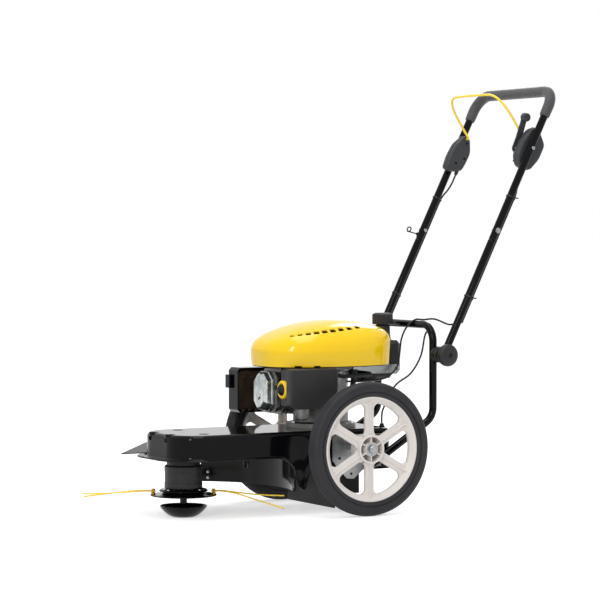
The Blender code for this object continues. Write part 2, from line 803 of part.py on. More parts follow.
def string_guard():
    """A curved plastic wall just outside the line's circle, with a stepped wing."""
    top = FLANGE_Z - SHEET - SEAT
    inside = HALF - SHEET - SEAT - 0.001
    near = pi / 2 - acos(inside / (GUARD_R + GUARD_T))
    near = near * 180 / pi
    main = (guard_arc(GUARD_R, -near, near, 12)
            + guard_arc(GUARD_R + GUARD_T, near, -near, 12))
    height = top - GUARD_LOW
    wall = sheet([main], height, level_plane(GUARD_LOW + height / 2))
    ribs = rods([((x, HEAD_Y + sqrt(GUARD_R ** 2 - x ** 2) + GUARD_T + 0.002, GUARD_LOW),
                  (x, HEAD_Y + sqrt(GUARD_R ** 2 - x ** 2) + GUARD_T + 0.002, TOP - SHEET - SEAT))
                 for x in (-0.096, 0.096)], 0.005, 8)
    wing_r = GUARD_R + GUARD_STEP
    outer = (guard_arc(wing_r, GUARD_END, GUARD_TURN, 6)
             + guard_arc(wing_r + GUARD_T, GUARD_TURN, GUARD_END, 6))
    wing = sheet([outer], height, level_plane(GUARD_LOW + height / 2))
    lap = 1.5
    step = (guard_arc(GUARD_R, lap - near, -near, 1)
            + guard_arc(wing_r, GUARD_TURN, GUARD_TURN - lap, 1)
            + guard_arc(wing_r + GUARD_T, GUARD_TURN - lap, GUARD_TURN, 1)
            + guard_arc(GUARD_R + GUARD_T, -near, lap - near, 1))
    link = sheet([step], GUARD_LINK, level_plane(GUARD_LOW + GUARD_LINK / 2 + 0.001))
    return join(wall, ribs, wing, link)


def rear_flap():
    """A rubber flap across the back of the deck's mouth, with short side wings."""
    back = -0.040
    wide = HALF - SHEET - SEAT - 0.0005
    t = 0.004
    low, high = 0.013, SKIRT_Z + 0.030
    skirt = block((-wide, back - t, low), (wide, back, high))
    wings = []
    for way in (1, -1):
        wings.append(block((way * wide - (t if way > 0 else 0), back - 0.001, 0.050),
                           (way * wide + (0 if way > 0 else t), back + 0.075, high)))
    return join(skirt, *wings)


# Spindle and line head

HOUSING_TOP = HEAD_Z + PLATE_T + 0.0015 + HOUSING_H


def spindle_housing():
    """The bearing tower, its plate, and four posts and bolts up to the deck."""
    bore = SPINDLE_D / 2 + RUN + 0.0005
    low = HOUSING_TOP - HOUSING_H
    plate_z = FLANGE_Z - SHEET
    body = turned(
        [(NECK_R, plate_z + 0.001), (NECK_R, HOUSING_TOP), (HOUSING_R - 0.003, HOUSING_TOP),
         (HOUSING_R, HOUSING_TOP - 0.003), (HOUSING_R, low + 0.002), (HOUSING_R - 0.002, low),
         (bore, low), (bore, plate_z + 0.001)],
        (0, HEAD_Y, 0), Z_AXIS, 20, loop=True)
    edge = POST_D / 2
    left = [(MOUNT_FRONT_X + edge * 0.6, HEAD_Y - MOUNT_FRONT - edge),
            (MOUNT_REAR_X + edge, HEAD_Y + MOUNT_REAR - 0.030),
            (MOUNT_REAR_X + edge, HEAD_Y + MOUNT_REAR + edge),
            (NECK_R * 0.6, HEAD_Y + MOUNT_REAR + edge + 0.022)]
    square = sheet([left + [(-x, y) for x, y in reversed(left)], circle(0, HEAD_Y, bore, 20)],
                   0.006, level_plane(plate_z + 0.0035))
    floor = TOP - RECESS_DEPTH
    posts = rods([((x, y, plate_z + 0.004), (x, y, floor - SHEET - SEAT))
                  for x, y in mount_bolts()], POST_D / 2, 8)
    bolts = [turned(
        [(0, floor + 0.0050), (0.0055, floor + 0.0050), (0.0070, floor + 0.0038),
         (0.0070, floor + SEAT), (BOLT_R, floor + SEAT), (BOLT_R, floor - SHEET - 0.002),
         (0, floor - SHEET - 0.002)], (x, y, 0), Z_AXIS, 6) for x, y in mount_bolts()]
    return join(body, square, posts, *bolts)


DISH_TOP = DISH_H * 0.6


def spindle_shaft():
    """Pulley seat at the top, plate seat, neck, and the pin that the dish turns on."""
    r = SPINDLE_D / 2
    return turned(
        [(0, TOP - SHEET - 0.005), (r * 0.7, TOP - SHEET - 0.005),
         (r * 0.7, BELT_MID + 0.011), (r * 0.7, BELT_MID - 0.011), (r, BELT_MID - 0.011),
         (r, HEAD_Z + PLATE_T), (r * 0.8, HEAD_Z + PLATE_T),
         (r * 0.8, DISC_Z - SEAT), (r * 0.95, DISC_Z - SEAT),
         (r * 0.95, DISH_TOP + SEAT), (0.005, DISH_TOP + SEAT), (0.005, 0.008), (0, 0.008)],
        (0, HEAD_Y, 0), Z_AXIS, 12)


def pulley(radius, centre, bore, steps=18):
    """A grooved pulley for the flat-sided belt, with a hub."""
    floor = radius - BELT_T / 2 - 0.0012
    edge = radius + BELT_T / 2 + 0.001
    inner = BELT_W / 2 + 0.0005
    outer = inner + 0.0025
    return turned(
        [(edge, outer), (edge, inner + 0.0008), (floor, inner), (floor, -inner),
         (edge, -inner - 0.0008), (edge, -outer), (bore, -outer), (bore, outer)],
        centre, Z_AXIS, steps, loop=True)


def head_plate():
    """The upper plate of the line head, with its four screws."""
    r = SPINDLE_D / 2 * 0.8 + SEAT
    plate = turned(
        [(PLATE_R - 0.004, HEAD_Z + PLATE_T), (PLATE_R, HEAD_Z + 0.001),
         (PLATE_R, HEAD_Z), (r, HEAD_Z), (r, HEAD_Z + PLATE_T - SEAT)],
        (0, HEAD_Y, 0), Z_AXIS, 24, loop=True)
    reach = (PLATE_R + HOUSING_R) / 2
    screws = [((x, y, HEAD_Z + 0.002), (x, y, HEAD_Z + PLATE_T + 0.002))
              for x, y in arc(0, HEAD_Y, reach, 20, 290, 3)]
    return join(plate, rods(screws, 0.0035, 6))


def head_disc():
    """The wide lower disc with a spacer ring, and the posts that the lines loop round."""
    r = SPINDLE_D / 2 * 0.8 + SEAT
    top = DISC_Z + DISC_T
    disc = turned(
        [(PLATE_R - 0.012, HEAD_Z - SEAT), (PLATE_R - 0.008, top + 0.002), (DISC_R - 0.006, top),
         (DISC_R, top - 0.0015), (DISC_R, DISC_Z + 0.0005), (DISC_R - 0.003, DISC_Z),
         (r, DISC_Z), (r, HEAD_Z - SEAT)],
        (0, HEAD_Y, 0), Z_AXIS, 24, loop=True)
    return join(disc, *[line_post(angle) for angle in LINE_ANGLES])


LINE_ANGLES = (29.5, 209.5)


def post_centre(angle):
    return Vector((POST_REACH * sin(radians(angle)), HEAD_Y + POST_REACH * cos(radians(angle)), 0))


def line_post(angle):
    """A short waisted post near the disc's edge."""
    top = DISC_Z + DISC_T
    return turned(
        [(0, top + 0.014), (POST_R * 0.85, top + 0.014), (POST_R * 0.85, top + 0.011),
         (POST_R * 0.5, top + 0.010), (POST_R * 0.5, top + 0.004), (POST_R, top + 0.003),
         (POST_R, top - 0.002), (0, top - 0.002)],
        post_centre(angle), Z_AXIS, 8)


def trimmer_line(angle, near_droop, far_droop):
    """One length of line, looped round its post with both ends trailing out."""
    mid = DISC_Z + DISC_T + SEAT + 0.0072
    wrap = POST_R * 0.5 + LINE_D / 2 + 0.0006
    post = post_centre(angle)
    out = Vector((sin(radians(angle)), cos(radians(angle)), 0))
    side = Vector((out.y, -out.x, 0))
    reach = LINE_REACH - POST_REACH
    one = [post + out * reach + side * 0.020 + Z_AXIS * (mid + far_droop),
           post + out * reach * 0.66 + side * 0.020 + Z_AXIS * (mid + far_droop * 0.55),
           post + out * reach * 0.33 + side * 0.013 + Z_AXIS * (mid + far_droop * 0.15 + 0.001),
           post + out * 0.022 + side * (wrap + 0.001) + Z_AXIS * (mid + 0.0005)]
    turn = [post + side * (wrap * cos(t)) - out * (wrap * sin(t)) + Z_AXIS * mid
            for t in (0.0, pi / 4, pi / 2, 3 * pi / 4, pi)]
    two = [post + out * 0.022 - side * (wrap + 0.001) + Z_AXIS * (mid + 0.0005),
           post + out * reach * 0.33 - side * 0.010 + Z_AXIS * (mid + near_droop * 0.4 + 0.001),
           post + out * reach * 0.66 - side * 0.012 + Z_AXIS * (mid + near_droop * 0.8),
           post + out * reach - side * 0.014 + Z_AXIS * (mid + near_droop)]
    return pipes([one + turn + two], LINE_D / 2, 1)


def ground_dish():
    """A shallow bowl that turns freely on the spindle's pin and slides on the ground."""
    return turned(dish_profile(DISH_WALL), (0, HEAD_Y, 0), Z_AXIS, 18)


def dish_profile(w):
    """From the bore's floor out over the bowl's inside, the rim, and under to the middle."""
    return [
        (0, 0.0065), (0.0055, 0.0065), (0.0055, DISH_TOP), (0.0125, DISH_TOP),
        (0.0150, w + 0.001), (DISH_FOOT_R - 0.002, w), (DISH_R - 0.024, DISH_H * 0.24 + w),
        (DISH_R - 0.013, DISH_H * 0.56 + w * 0.6), (DISH_R - 0.0045, DISH_H - 0.003),
        (DISH_R - 0.003, DISH_H), (DISH_R, DISH_H), (DISH_R - 0.0015, DISH_H - 0.004),
        (DISH_R - 0.010, DISH_H * 0.52), (DISH_R - 0.021, DISH_H * 0.20), (DISH_FOOT_R, 0), (0, 0)]


# Belt drive

def drive_belt():
    """The belt round both pulleys, clear of their grooves by a hair."""
    def loop(extra):
        big, small = DRIVEN_R + extra, DRIVE_R + extra
        lean = 90 - 180 / pi * acos((big - small) / (ENGINE_Y - HEAD_Y))
        return (arc(0, ENGINE_Y, small, lean, 180 - lean, 9)
                + arc(0, HEAD_Y, big, 180 - lean, 360 + lean, 10))
    return sheet([loop(BELT_T / 2), loop(-BELT_T / 2)], BELT_W, level_plane(BELT_MID))


ARM_PIVOT = Vector((0.085, -0.2137, 0))
IDLER_X = (DRIVE_R + DRIVEN_R) / 2 + BELT_T / 2 + IDLER_LIFT + IDLER_R
IDLER_Y = -0.140


def idler_arm():
    """A flat arm under the deck top that swings the idler onto the belt."""
    z = TOP - SHEET - 0.008
    pin = turned(
        [(0, BELT_MID + BELT_W / 2 + 0.0085), (0.004, BELT_MID + BELT_W / 2 + 0.0085),
         (0.004, BELT_MID - BELT_W / 2 - 0.003), (0.0065, BELT_MID - BELT_W / 2 - 0.003),
         (0.0065, BELT_MID - BELT_W / 2 - 0.006), (0, BELT_MID - BELT_W / 2 - 0.006)],
        (IDLER_X, IDLER_Y, 0), Z_AXIS, 12)
    run = Vector((IDLER_X, IDLER_Y, 0)) - ARM_PIVOT
    length = run.length
    outline = (arc(0, 0, 0.011, 90, 270, 6) + arc(length, 0, 0.009, -90, 90, 6))
    turn = Matrix.Rotation(Vector((1, 0, 0)).angle(run), 4, "Z")
    place = Matrix.Translation((ARM_PIVOT.x, ARM_PIVOT.y, z)) @ turn
    arm = sheet([outline, circle(0, 0, 0.0045, 12)], 0.004, place)
    low, high = BELT_MID + BELT_W / 2 + 0.004, z - 0.001
    neck = rods([((IDLER_X, IDLER_Y, low + 0.003), (IDLER_X, IDLER_Y, high + 0.002))], 0.006, 12)
    return join(arm, neck, pin)


def idler_pulley():
    half = BELT_W / 2 + 0.0025
    return turned(
        [(IDLER_R, half), (IDLER_R, -half), (0.004 + SEAT, -half), (0.004 + SEAT, half)],
        (IDLER_X, IDLER_Y, BELT_MID), Z_AXIS, 20, loop=True)


def arm_stud():
    """The stud that the idler arm swings on, held in the deck top by its nut."""
    return turned(
        [(0, TOP + 0.022), (0.0035, TOP + 0.022), (0.0035, TOP + 0.010), (0.0065, TOP + 0.010),
         (0.0065, TOP - 0.001), (0.0040, TOP - 0.001), (0.0040, TOP - SHEET - 0.012),
         (0.0075, TOP - SHEET - 0.012), (0.0075, TOP - SHEET - 0.0155),
         (0, TOP - SHEET - 0.0155)],
        ARM_PIVOT, Z_AXIS, 12)


# Engine

CASE_Z = TOP + SEAT
BLOCK_TOP = CASE_Z + CASE_H
BASE_Z = BLOCK_TOP + SEAT
BASE_T = 0.002
SHROUD_Z = BASE_Z + BASE_T + SEAT
CREASE_Z = SHROUD_Z + SHROUD_SKIRT
CYL_MID = TOP + CYL_Z
CYL_FACE = ENGINE_Y - CYL_END
SHAFT_R = CRANK_D / 2
SEAT_R = SHAFT_R - 0.002


def engine_block():
    """Crankcase on its bolted flange, and the finned cylinder that points forward."""
    case = turned(
        [(CASE_TOP_R, BLOCK_TOP), (CASE_TOP_R, BLOCK_TOP - 0.009), (CASE_R, BLOCK_TOP - 0.014),
         (CASE_R - 0.003, CASE_Z + 0.060), (CASE_R, CASE_Z + 0.050), (CASE_R, CASE_Z + 0.016),
         (FLANGE_R, CASE_Z + 0.012), (FLANGE_R, CASE_Z), (SHAFT_R + RUN, CASE_Z),
         (SHAFT_R + RUN, BLOCK_TOP)],
        (0, ENGINE_Y, 0), Z_AXIS, CASE_SIDES, loop=True)
    first = ENGINE_Y - CASE_R + 0.012
    last = CYL_FACE + 0.010
    pitch = (first - last) / FINS
    rings = []

    def ring(half, y):
        wide, tall = half, half + 0.002
        rings.append([(CYL_X + x, y, CYL_MID + z)
                      for x, z in rounded_box(wide, tall, half * 0.25, 1)])

    ring(BARREL_HALF, first + 0.020)
    for k in range(FINS):
        y = first - pitch * (k + 0.45)
        ring(BARREL_HALF, y + pitch * 0.20)
        ring(FIN_HALF, y + pitch * 0.14)
        ring(FIN_HALF, y - pitch * 0.14)
        ring(BARREL_HALF, y - pitch * 0.20)
    ring(BARREL_HALF, last)
    ring(FIN_HALF * 0.88, last - 0.001)
    ring(FIN_HALF * 0.88, CYL_FACE)
    bolts = [turned(
        [(0, CASE_Z + 0.019), (0.0052, CASE_Z + 0.019), (0.0065, CASE_Z + 0.0175),
         (0.0065, CASE_Z + 0.010), (BOLT_R, CASE_Z + 0.010), (BOLT_R, TOP - SHEET - 0.006),
         (0, TOP - SHEET - 0.006)], (x, y, 0), Z_AXIS, 6) for x, y in engine_bolts()]
    return join(case, loft(rings), control_bracket(), *bolts)


def valve_cover():
    """An eight-sided cast cover on the end of the cylinder."""
    def octagon(half_x, half_z, corner, y):
        return [(CYL_X + x, y, CYL_MID + z)
                for x, z in rounded_box(half_x, half_z, corner, 1)]
    wide, tall = COVER_W / 2, COVER_H / 2
    face = CYL_FACE - SEAT
    rings = [octagon(wide, tall, 0.020, face), octagon(wide, tall, 0.020, face - 0.006),
             octagon(wide - 0.003, tall - 0.003, 0.020, face - 0.0065),
             octagon(wide - 0.004, tall - 0.004, 0.020, face - COVER_D + 0.009),
             octagon(wide - 0.010, tall - 0.011, 0.017, face - COVER_D + 0.001),
             octagon(wide - 0.012, tall - 0.013, 0.016, face - COVER_D)]
    cover = loft(rings)
    lug = rods([((CYL_X, face - COVER_D + 0.002, CYL_MID - 0.012),
                 (CYL_X, face - COVER_D - 0.003, CYL_MID - 0.012))], 0.009, 12)
    return join(cover, lug)


def oval(scale_x, scale_y, count=28):
    """The shroud in plan, a full rounded oval."""
    power = 2 / 2.6
    points = []
    for i in range(count):
        a = 2 * pi * i / count
        x = abs(cos(a)) ** power * (1 if cos(a) >= 0 else -1)
        y = abs(sin(a)) ** power * (1 if sin(a) >= 0 else -1)
        points.append((SHROUD_HALF_X * scale_x * x, ENGINE_Y + SHROUD_HALF_Y * scale_y * y))
    return points


def crease(y):
    """The height of the shroud's shoulder line, which climbs towards the back."""
    back = max(0.0, (y - ENGINE_Y) / SHROUD_HALF_Y)
    return CREASE_Z + SHROUD_CLIMB * back ** 1.5


def shroud_height(inward, y):
    """The dome's height: full at the middle and rear, falling away to the nose."""
    along = (y - ENGINE_Y) / SHROUD_HALF_Y
    crown = CREASE_Z + SHROUD_RISE * (1 - 0.36 * max(0.0, -along + 0.1) ** 1.5)
    dome = (1 - (1 - inward) ** 2.6) ** (1 / 2.2)
    return crease(y) + (crown - crease(y)) * dome


def shroud_surface():
    """The shroud's outer face: a skirt up to the shoulder line, then the dome."""
    rings = [[(x, y, SHROUD_Z) for x, y in oval(0.985, 0.985)],
             [(x, y, crease(y) - 0.012) for x, y in oval(1.0, 1.0)],
             [(x, y, crease(y)) for x, y in oval(0.993, 0.995)]]
    for inward in (0.04, 0.13, 0.30, 0.60):
        keep = 1 - inward
        rings.append([(x, y, shroud_height(inward, y)) for x, y in oval(keep, keep)])
    return loft(rings, ends=(False, True))


def engine_shroud():
    """The domed cover over the fan, with a row of slots each side and the starter's post."""
    shell = thicken(shroud_surface(), SHROUD_WALL)
    slots = []
    pitch = 0.0225
    for way in (1, -1):
        for k in range(SLOTS):
            y = ENGINE_Y + 0.034 - pitch * k
            x = way * SHROUD_HALF_X * 0.60
            slots.append(((x - 0.0075, y - 0.0085, CREASE_Z + 0.02),
                          (x + 0.0075, y + 0.0085, CREASE_Z + 0.12)))
    group = bmesh.new()
    for low, high in slots:
        low, high = Vector(low), Vector(high)
        place = Matrix.Translation((low + high) / 2) @ Matrix.Diagonal((*(high - low), 1))
        bmesh.ops.create_cube(group, size=1, matrix=place)
    cut(shell, from_bmesh(group))
    post = rods([((0, ENGINE_Y, STARTER_Z - 0.008),
                  (0, ENGINE_Y, CREASE_Z + SHROUD_RISE - 0.0045))], 0.008, 16)
    return join(shell, post)


FAN_Z = SHROUD_Z + 0.004
FAN_TOP = FAN_Z + 0.028
STARTER_Z = FAN_TOP + 0.024
STARTER_R = 0.045


def blower_base():
    """The flat plate that closes the shroud's underside round the crankshaft."""
    return sheet([oval(0.978, 0.978), circle(0, ENGINE_Y, SHAFT_R + 0.006, 24)], BASE_T,
                 level_plane(BASE_Z + BASE_T / 2))


def crankshaft():
    low = BELT_MID - 0.012
    return turned(
        [(0, FAN_TOP + 0.010), (0.007, FAN_TOP + 0.010), (0.007, FAN_TOP + 0.001),
         (SEAT_R, FAN_TOP + 0.001), (SEAT_R, BLOCK_TOP + 0.002), (SHAFT_R, BLOCK_TOP + 0.002),
         (SHAFT_R, BELT_MID + 0.012), (SEAT_R, BELT_MID + 0.012), (SEAT_R, low), (0, low)],
        (0, ENGINE_Y, 0), Z_AXIS, 16)


def flywheel():
    """The flywheel with the fan's vanes standing on it."""
    bore = SEAT_R + SEAT
    disc = turned(
        [(0.028, FAN_TOP), (0.030, FAN_Z + 0.008), (FAN_R, FAN_Z + 0.006), (FAN_R, FAN_Z),
         (bore, FAN_Z), (bore, FAN_TOP)],
        (0, ENGINE_Y, 0), Z_AXIS, 20, loop=True)
    group = bmesh.new()
    size = Matrix.Diagonal((0.036, 0.0022, 0.022, 1))
    for k in range(FAN_VANES):
        place = (Matrix.Translation((0, ENGINE_Y, FAN_Z + 0.016))
                 @ Matrix.Rotation(2 * pi * k / FAN_VANES, 4, "Z")
                 @ Matrix.Translation((FAN_R - 0.021, 0, 0))
                 @ Matrix.Rotation(radians(22), 4, "Z") @ size)
        bmesh.ops.create_cube(group, size=1, matrix=place)
    return join(disc, from_bmesh(group))


def starter_pulley():
    """The recoil starter's rope drum, on the shroud's post."""
    return turned(
        [(STARTER_R, 0.006), (STARTER_R, 0.0045), (STARTER_R - 0.015, 0.0035),
         (STARTER_R - 0.015, -0.0035), (STARTER_R, -0.0045), (STARTER_R, -0.006),
         (0.008 + RUN, -0.006), (0.008 + RUN, 0.006)],
        (0, ENGINE_Y, STARTER_Z), Z_AXIS, 16, loop=True)


STARTER_GRIP = Vector((-SHROUD_HALF_X - 0.022, 0.020, CREASE_Z - 0.013))
STARTER_WAY = Vector((0, 0.62, 0.785)).normalized()
STARTER_GRIP_R = 0.0095


def starter_grip():
    """The pull handle, resting by its stem against the shroud's right side."""
    across = STARTER_WAY.cross(X_AXIS)
    half = across * 0.042
    bar = rods([(STARTER_GRIP - half, STARTER_GRIP + half)], STARTER_GRIP_R, 12)
    soften(bar, 0.003)
    lean = abs((STARTER_GRIP.y - ENGINE_Y) / SHROUD_HALF_Y) ** 2.6
    flat = 0.0012              # how far the shroud's flats lie inside its oval
    face = flat - SHROUD_HALF_X * (1 - lean) ** (1 / 2.6) - 2 * SEAT
    stem = rods([(STARTER_GRIP, Vector((face, STARTER_GRIP.y, STARTER_GRIP.z)))], 0.005, 10)
    return join(bar, stem)


def ignition_coil():
    """The coil on the blower base, its core a hair off the flywheel's rim."""
    low = BASE_Z + BASE_T + SEAT
    near = FAN_R + 0.0006
    core = block((near, ENGINE_Y - 0.016, low), (near + 0.026, ENGINE_Y + 0.016, low + 0.014))
    body = block((near + 0.008, ENGINE_Y - 0.021, low + 0.002),
                 (near + 0.022, ENGINE_Y + 0.021, low + 0.022), 0.002)
    return join(core, body)


def spark_plug():
    """The plug's steel body in the head, with its rubber cap and lead."""
    seat = Vector((CYL_X + FIN_HALF * 0.88 + SEAT, CYL_FACE + 0.004, CYL_MID + 0.014))
    way = Vector((0.55, -0.83, 0.0)).normalized()
    out = seat + X_AXIS * 0.004
    body = rods([(seat, out + X_AXIS * 0.008)], 0.0065, 6)
    cap = rods([(out + X_AXIS * 0.002, out + X_AXIS * 0.006 + way * 0.018)], 0.0075, 8)
    lead = pipes([flowing([out + X_AXIS * 0.005 + way * 0.012,
                           out + X_AXIS * 0.006 + way * 0.010 + Z_AXIS * 0.020,
                           out + X_AXIS * 0.004 + Y_AXIS * 0.006 + Z_AXIS * 0.040,
                           Vector((out.x + 0.002, out.y + 0.010, BASE_Z - 0.0012))], 3)], 0.003, 1)
    return join(body, cap, lead)


def air_cleaner_base():
    """The cleaner's inner half, which carries the primer."""
    box = block((CLEANER_IN, CLEANER_FRONT + 0.011, TOP + CLEANER_LOW),
                (CLEANER_SPLIT, CLEANER_REAR - 0.004, TOP + CLEANER_HIGH), 0.006)
    return box


def air_cleaner_cover():
    """The plain outer cover, its lower rear corner cut away over the wheel."""
    low, high = TOP + CLEANER_LOW, TOP + CLEANER_HIGH
    front, rear = CLEANER_FRONT, CLEANER_REAR
    outline = [(front, low + 0.010), (front + 0.010, low), (rear - 0.046, low),
               (rear, low + 0.045), (rear, high - 0.006), (rear - 0.006, high),
               (front + 0.004, high), (front, high - 0.004)]
    depth = CLEANER_OUT - CLEANER_SPLIT - SEAT
    cover = sheet([outline], depth, side_plane(CLEANER_OUT - depth / 2))
    soften(cover, 0.004)
    return cover


PRIMER = Vector((0.1015, CLEANER_FRONT + 0.011, TOP + 0.1105))
PRIMER_R = 0.0245
PRIMER_BORE = 0.0155


def primer_ring():
    """The yellow bezel round the primer bulb."""
    return turned(
        [(PRIMER_BORE + 0.002, 0.0115), (PRIMER_R - 0.003, 0.0115), (PRIMER_R, 0.009),
         (PRIMER_R, SEAT), (PRIMER_BORE, SEAT), (PRIMER_BORE, 0.0095)],
        PRIMER, -Y_AXIS, 16, loop=True)


def primer_bulb():
    """A rubber dome that is pushed in to prime the carburettor."""
    r = PRIMER_BORE - RUN
    return turned(
        [(0, 0.0215), (r * 0.35, 0.0207), (r * 0.65, 0.0182), (r * 0.90, 0.0135),
         (r, 0.0085), (r, 0.0045), (0, 0.0045)],
        PRIMER, -Y_AXIS, 12)


def carburettor():
    """Throat between the cylinder and the cleaner, with its float bowl below."""
    y = CYL_FACE + 0.052
    inner = CYL_X + FIN_HALF + SEAT
    throat = rods([((inner, y, CYL_MID - 0.008), (CLEANER_IN - SEAT, y, CYL_MID - 0.008))],
                  0.015, 10)
    low = TOP + CLEANER_LOW - SEAT
    arm = block((inner + 0.003, y - 0.011, low - 0.020), (CLEANER_IN - 0.002, y + 0.011, CYL_MID))
    bowl = turned(
        [(0, low - 0.001), (0.020, low - 0.001), (0.020, low - 0.008), (0.018, low - 0.030),
         (0.014, low - 0.034), (0, low - 0.034)],
        (CLEANER_IN + 0.012, y, 0), Z_AXIS, 12)
    nut = rods([((CLEANER_IN + 0.012, y, low - 0.038), (CLEANER_IN + 0.012, y, low - 0.033))],
               0.006, 6)
    return join(throat, arm, bowl, nut)


def muffler():
    """The silencer box and the pipe from the cylinder's right side."""
    wall = 0.0025
    low = Vector((-MUFFLER_OUT + wall + SEAT, MUFFLER_FRONT + wall + SEAT,
                  TOP + MUFFLER_LOW + wall + SEAT))
    high = Vector((-MUFFLER_IN - 0.012, MUFFLER_REAR - wall - SEAT,
                   TOP + MUFFLER_HIGH - wall - SEAT))
    sides = Vector((MUFFLER_WALL,) * 3)
    outlet = Vector(((low.x + high.x) / 2, low.y, (low.z + high.z) / 2))
    box = cut(block(low, high, 0.0075), block(low + sides, high - sides, 0.006),
              rods([(outlet - Y_AXIS * 0.01, outlet + Y_AXIS * 0.01)], 0.008, 12))
    start = CYL_X - FIN_HALF - SEAT
    y = CYL_FACE + 0.052
    pipe = rods([((start, y, CYL_MID), (-MUFFLER_IN - 0.014, y, CYL_MID))], 0.014, 16)
    bolts = rods([((-MUFFLER_IN - 0.013, y + dy, CYL_MID + 0.030),
                   (-MUFFLER_IN - 0.006, y + dy, CYL_MID + 0.030)) for dy in (-0.045, -0.022)],
                 0.0045, 6)
    return join(box, pipe, bolts)


def muffler_guard():
    """The black box over the silencer, open towards the cylinder, with its outlet."""
    wall = 0.0025
    low, high = TOP + MUFFLER_LOW, TOP + MUFFLER_HIGH
    shell = block((-MUFFLER_OUT, MUFFLER_FRONT, low), (-MUFFLER_IN + 0.010, MUFFLER_REAR, high),
                  0.008)
    spout = block((-MUFFLER_OUT + 0.003, MUFFLER_FRONT - 0.009, high - 0.057),
                  (-MUFFLER_OUT + 0.028, MUFFLER_FRONT + 0.001, high - 0.020), 0.002)
    join(shell, spout)
    inside = block((-MUFFLER_OUT + wall, MUFFLER_FRONT + wall, low + wall),
                   (-MUFFLER_IN + 0.02, MUFFLER_REAR - wall, high - wall), 0.007)
    mouth = block((-MUFFLER_IN, MUFFLER_FRONT - 0.01, low - 0.01),
                  (-MUFFLER_IN + 0.03, MUFFLER_REAR + 0.01, high + 0.01))
    vents = bmesh.new()
    for k in range(5):
        place = (Matrix.Translation((-MUFFLER_IN - 0.018, MUFFLER_FRONT + 0.028 + 0.020 * k, low))
                 @ Matrix.Diagonal((0.008, 0.008, 0.010, 1)))
        bmesh.ops.create_cube(vents, size=1, matrix=place)
    return cut(shell, inside, mouth, from_bmesh(vents))


TANK_FRONT = ENGINE_Y + SHROUD_HALF_Y + 0.0035
TANK_REAR = TANK_FRONT + 0.0455
TANK_NECK = Vector((-0.040, TANK_FRONT + 0.0260, 0))
TANK_LOW = TOP + 0.1380
TANK_TOP = TOP + 0.2300
CAP_Z = TOP + 0.2720


def fuel_tank():
    """A blow-moulded tank behind the shroud, its sump forward under it, and its neck."""
    box = block((-0.120, TANK_FRONT, TANK_LOW), (0.030, TANK_REAR, TANK_TOP), 0.010)
    foot = block((-0.100, TANK_FRONT - 0.070, TANK_LOW - 0.012),
                 (0.022, TANK_FRONT + 0.020, BASE_Z - 0.006), 0.006)
    sump = rods([((-0.012, TANK_FRONT - 0.040, TANK_LOW - 0.020),
                  (-0.012, TANK_FRONT - 0.040, TANK_LOW + 0.010))], 0.034, 16)
    neck = turned(
        [(0.0180, CAP_Z + 0.020), (0.0180, CAP_Z - 0.001), (0.0205, CAP_Z - 0.004),
         (0.0215, TANK_TOP + 0.012), (0.0245, TANK_TOP - 0.004), (0.0120, TANK_TOP - 0.004),
         (0.0150, TANK_TOP + 0.010), (0.0150, CAP_Z + 0.020)],
        TANK_NECK, Z_AXIS, 14, loop=True)
    join(box, foot, sump, neck)
    well = rods([(TANK_NECK + Z_AXIS * (TANK_TOP - 0.030), TANK_NECK + Z_AXIS * (CAP_Z + 0.03))],
                0.0145, 12)
    return cut(box, well)


def fuel_cap():
    """A ribbed cap screwed over the neck."""
    outline = []
    for k in range(24):
        r = 0.0287 if k % 2 else 0.0274
        a = 2 * pi * k / 24
        outline.append((TANK_NECK.x + r * cos(a), TANK_NECK.y + r * sin(a)))
    top = CAP_Z + 0.0305
    cap = sheet([outline], top - CAP_Z - SEAT, level_plane((top + CAP_Z + SEAT) / 2))
    crown = rods([(TANK_NECK + Z_AXIS * (top - 0.002), TANK_NECK + Z_AXIS * (top + 0.002))],
                 0.023, 16)
    join(cap, crown)
    well = rods([(TANK_NECK + Z_AXIS * (CAP_Z - 0.01), TANK_NECK + Z_AXIS * (CAP_Z + 0.0205))],
                0.0180 + 2 * SEAT, 16)
    return cut(cap, well)


def tank_bracket():
    """A zinc strap from the crankcase's back to the tank's side, ending in a ring."""
    z = TOP + 0.1530
    x = 0.0305 + SEAT
    start = ENGINE_Y + CASE_TOP_R * cos(pi / CASE_SIDES) + SEAT
    end = TANK_REAR - 0.020
    thick = 0.0025
    outline = ([(start, z - 0.012), (end, z - 0.012)] + arc(end, z, 0.012, -72, 72, 5)
               + [(end, z + 0.012), (start, z + 0.012)])
    strap = sheet([outline, circle(end, z, 0.0055, 8)], thick, side_plane(x + thick / 2))
    tab = block((0.004, start, z - 0.011), (x + thick / 2, start + thick, z + 0.011))
    bolts = rods([((0.014, start + thick / 2, z), (0.014, start + 0.007, z))], 0.0055, 6)
    return join(strap, tab, bolts)


def oil_filler():
    """The silver dipstick tube from the crankcase, with its cap."""
    low = Vector((0.0, ENGINE_Y, TOP + 0.080)) + Vector((0.78, 0.62, 0)) * (CASE_R + 0.0034)
    route = flowing([low, low + Vector((0.012, 0.004, 0.012)), low + Vector((0.018, 0.007, 0.040)),
                     low + Vector((0.020, 0.008, 0.068))], 3)
    tube = pipes([route], 0.0075, 1)
    cap = rods([(route[-1] - Z_AXIS * 0.002, route[-1] + Z_AXIS * 0.009)], 0.0105, 12)
    return join(tube, cap)


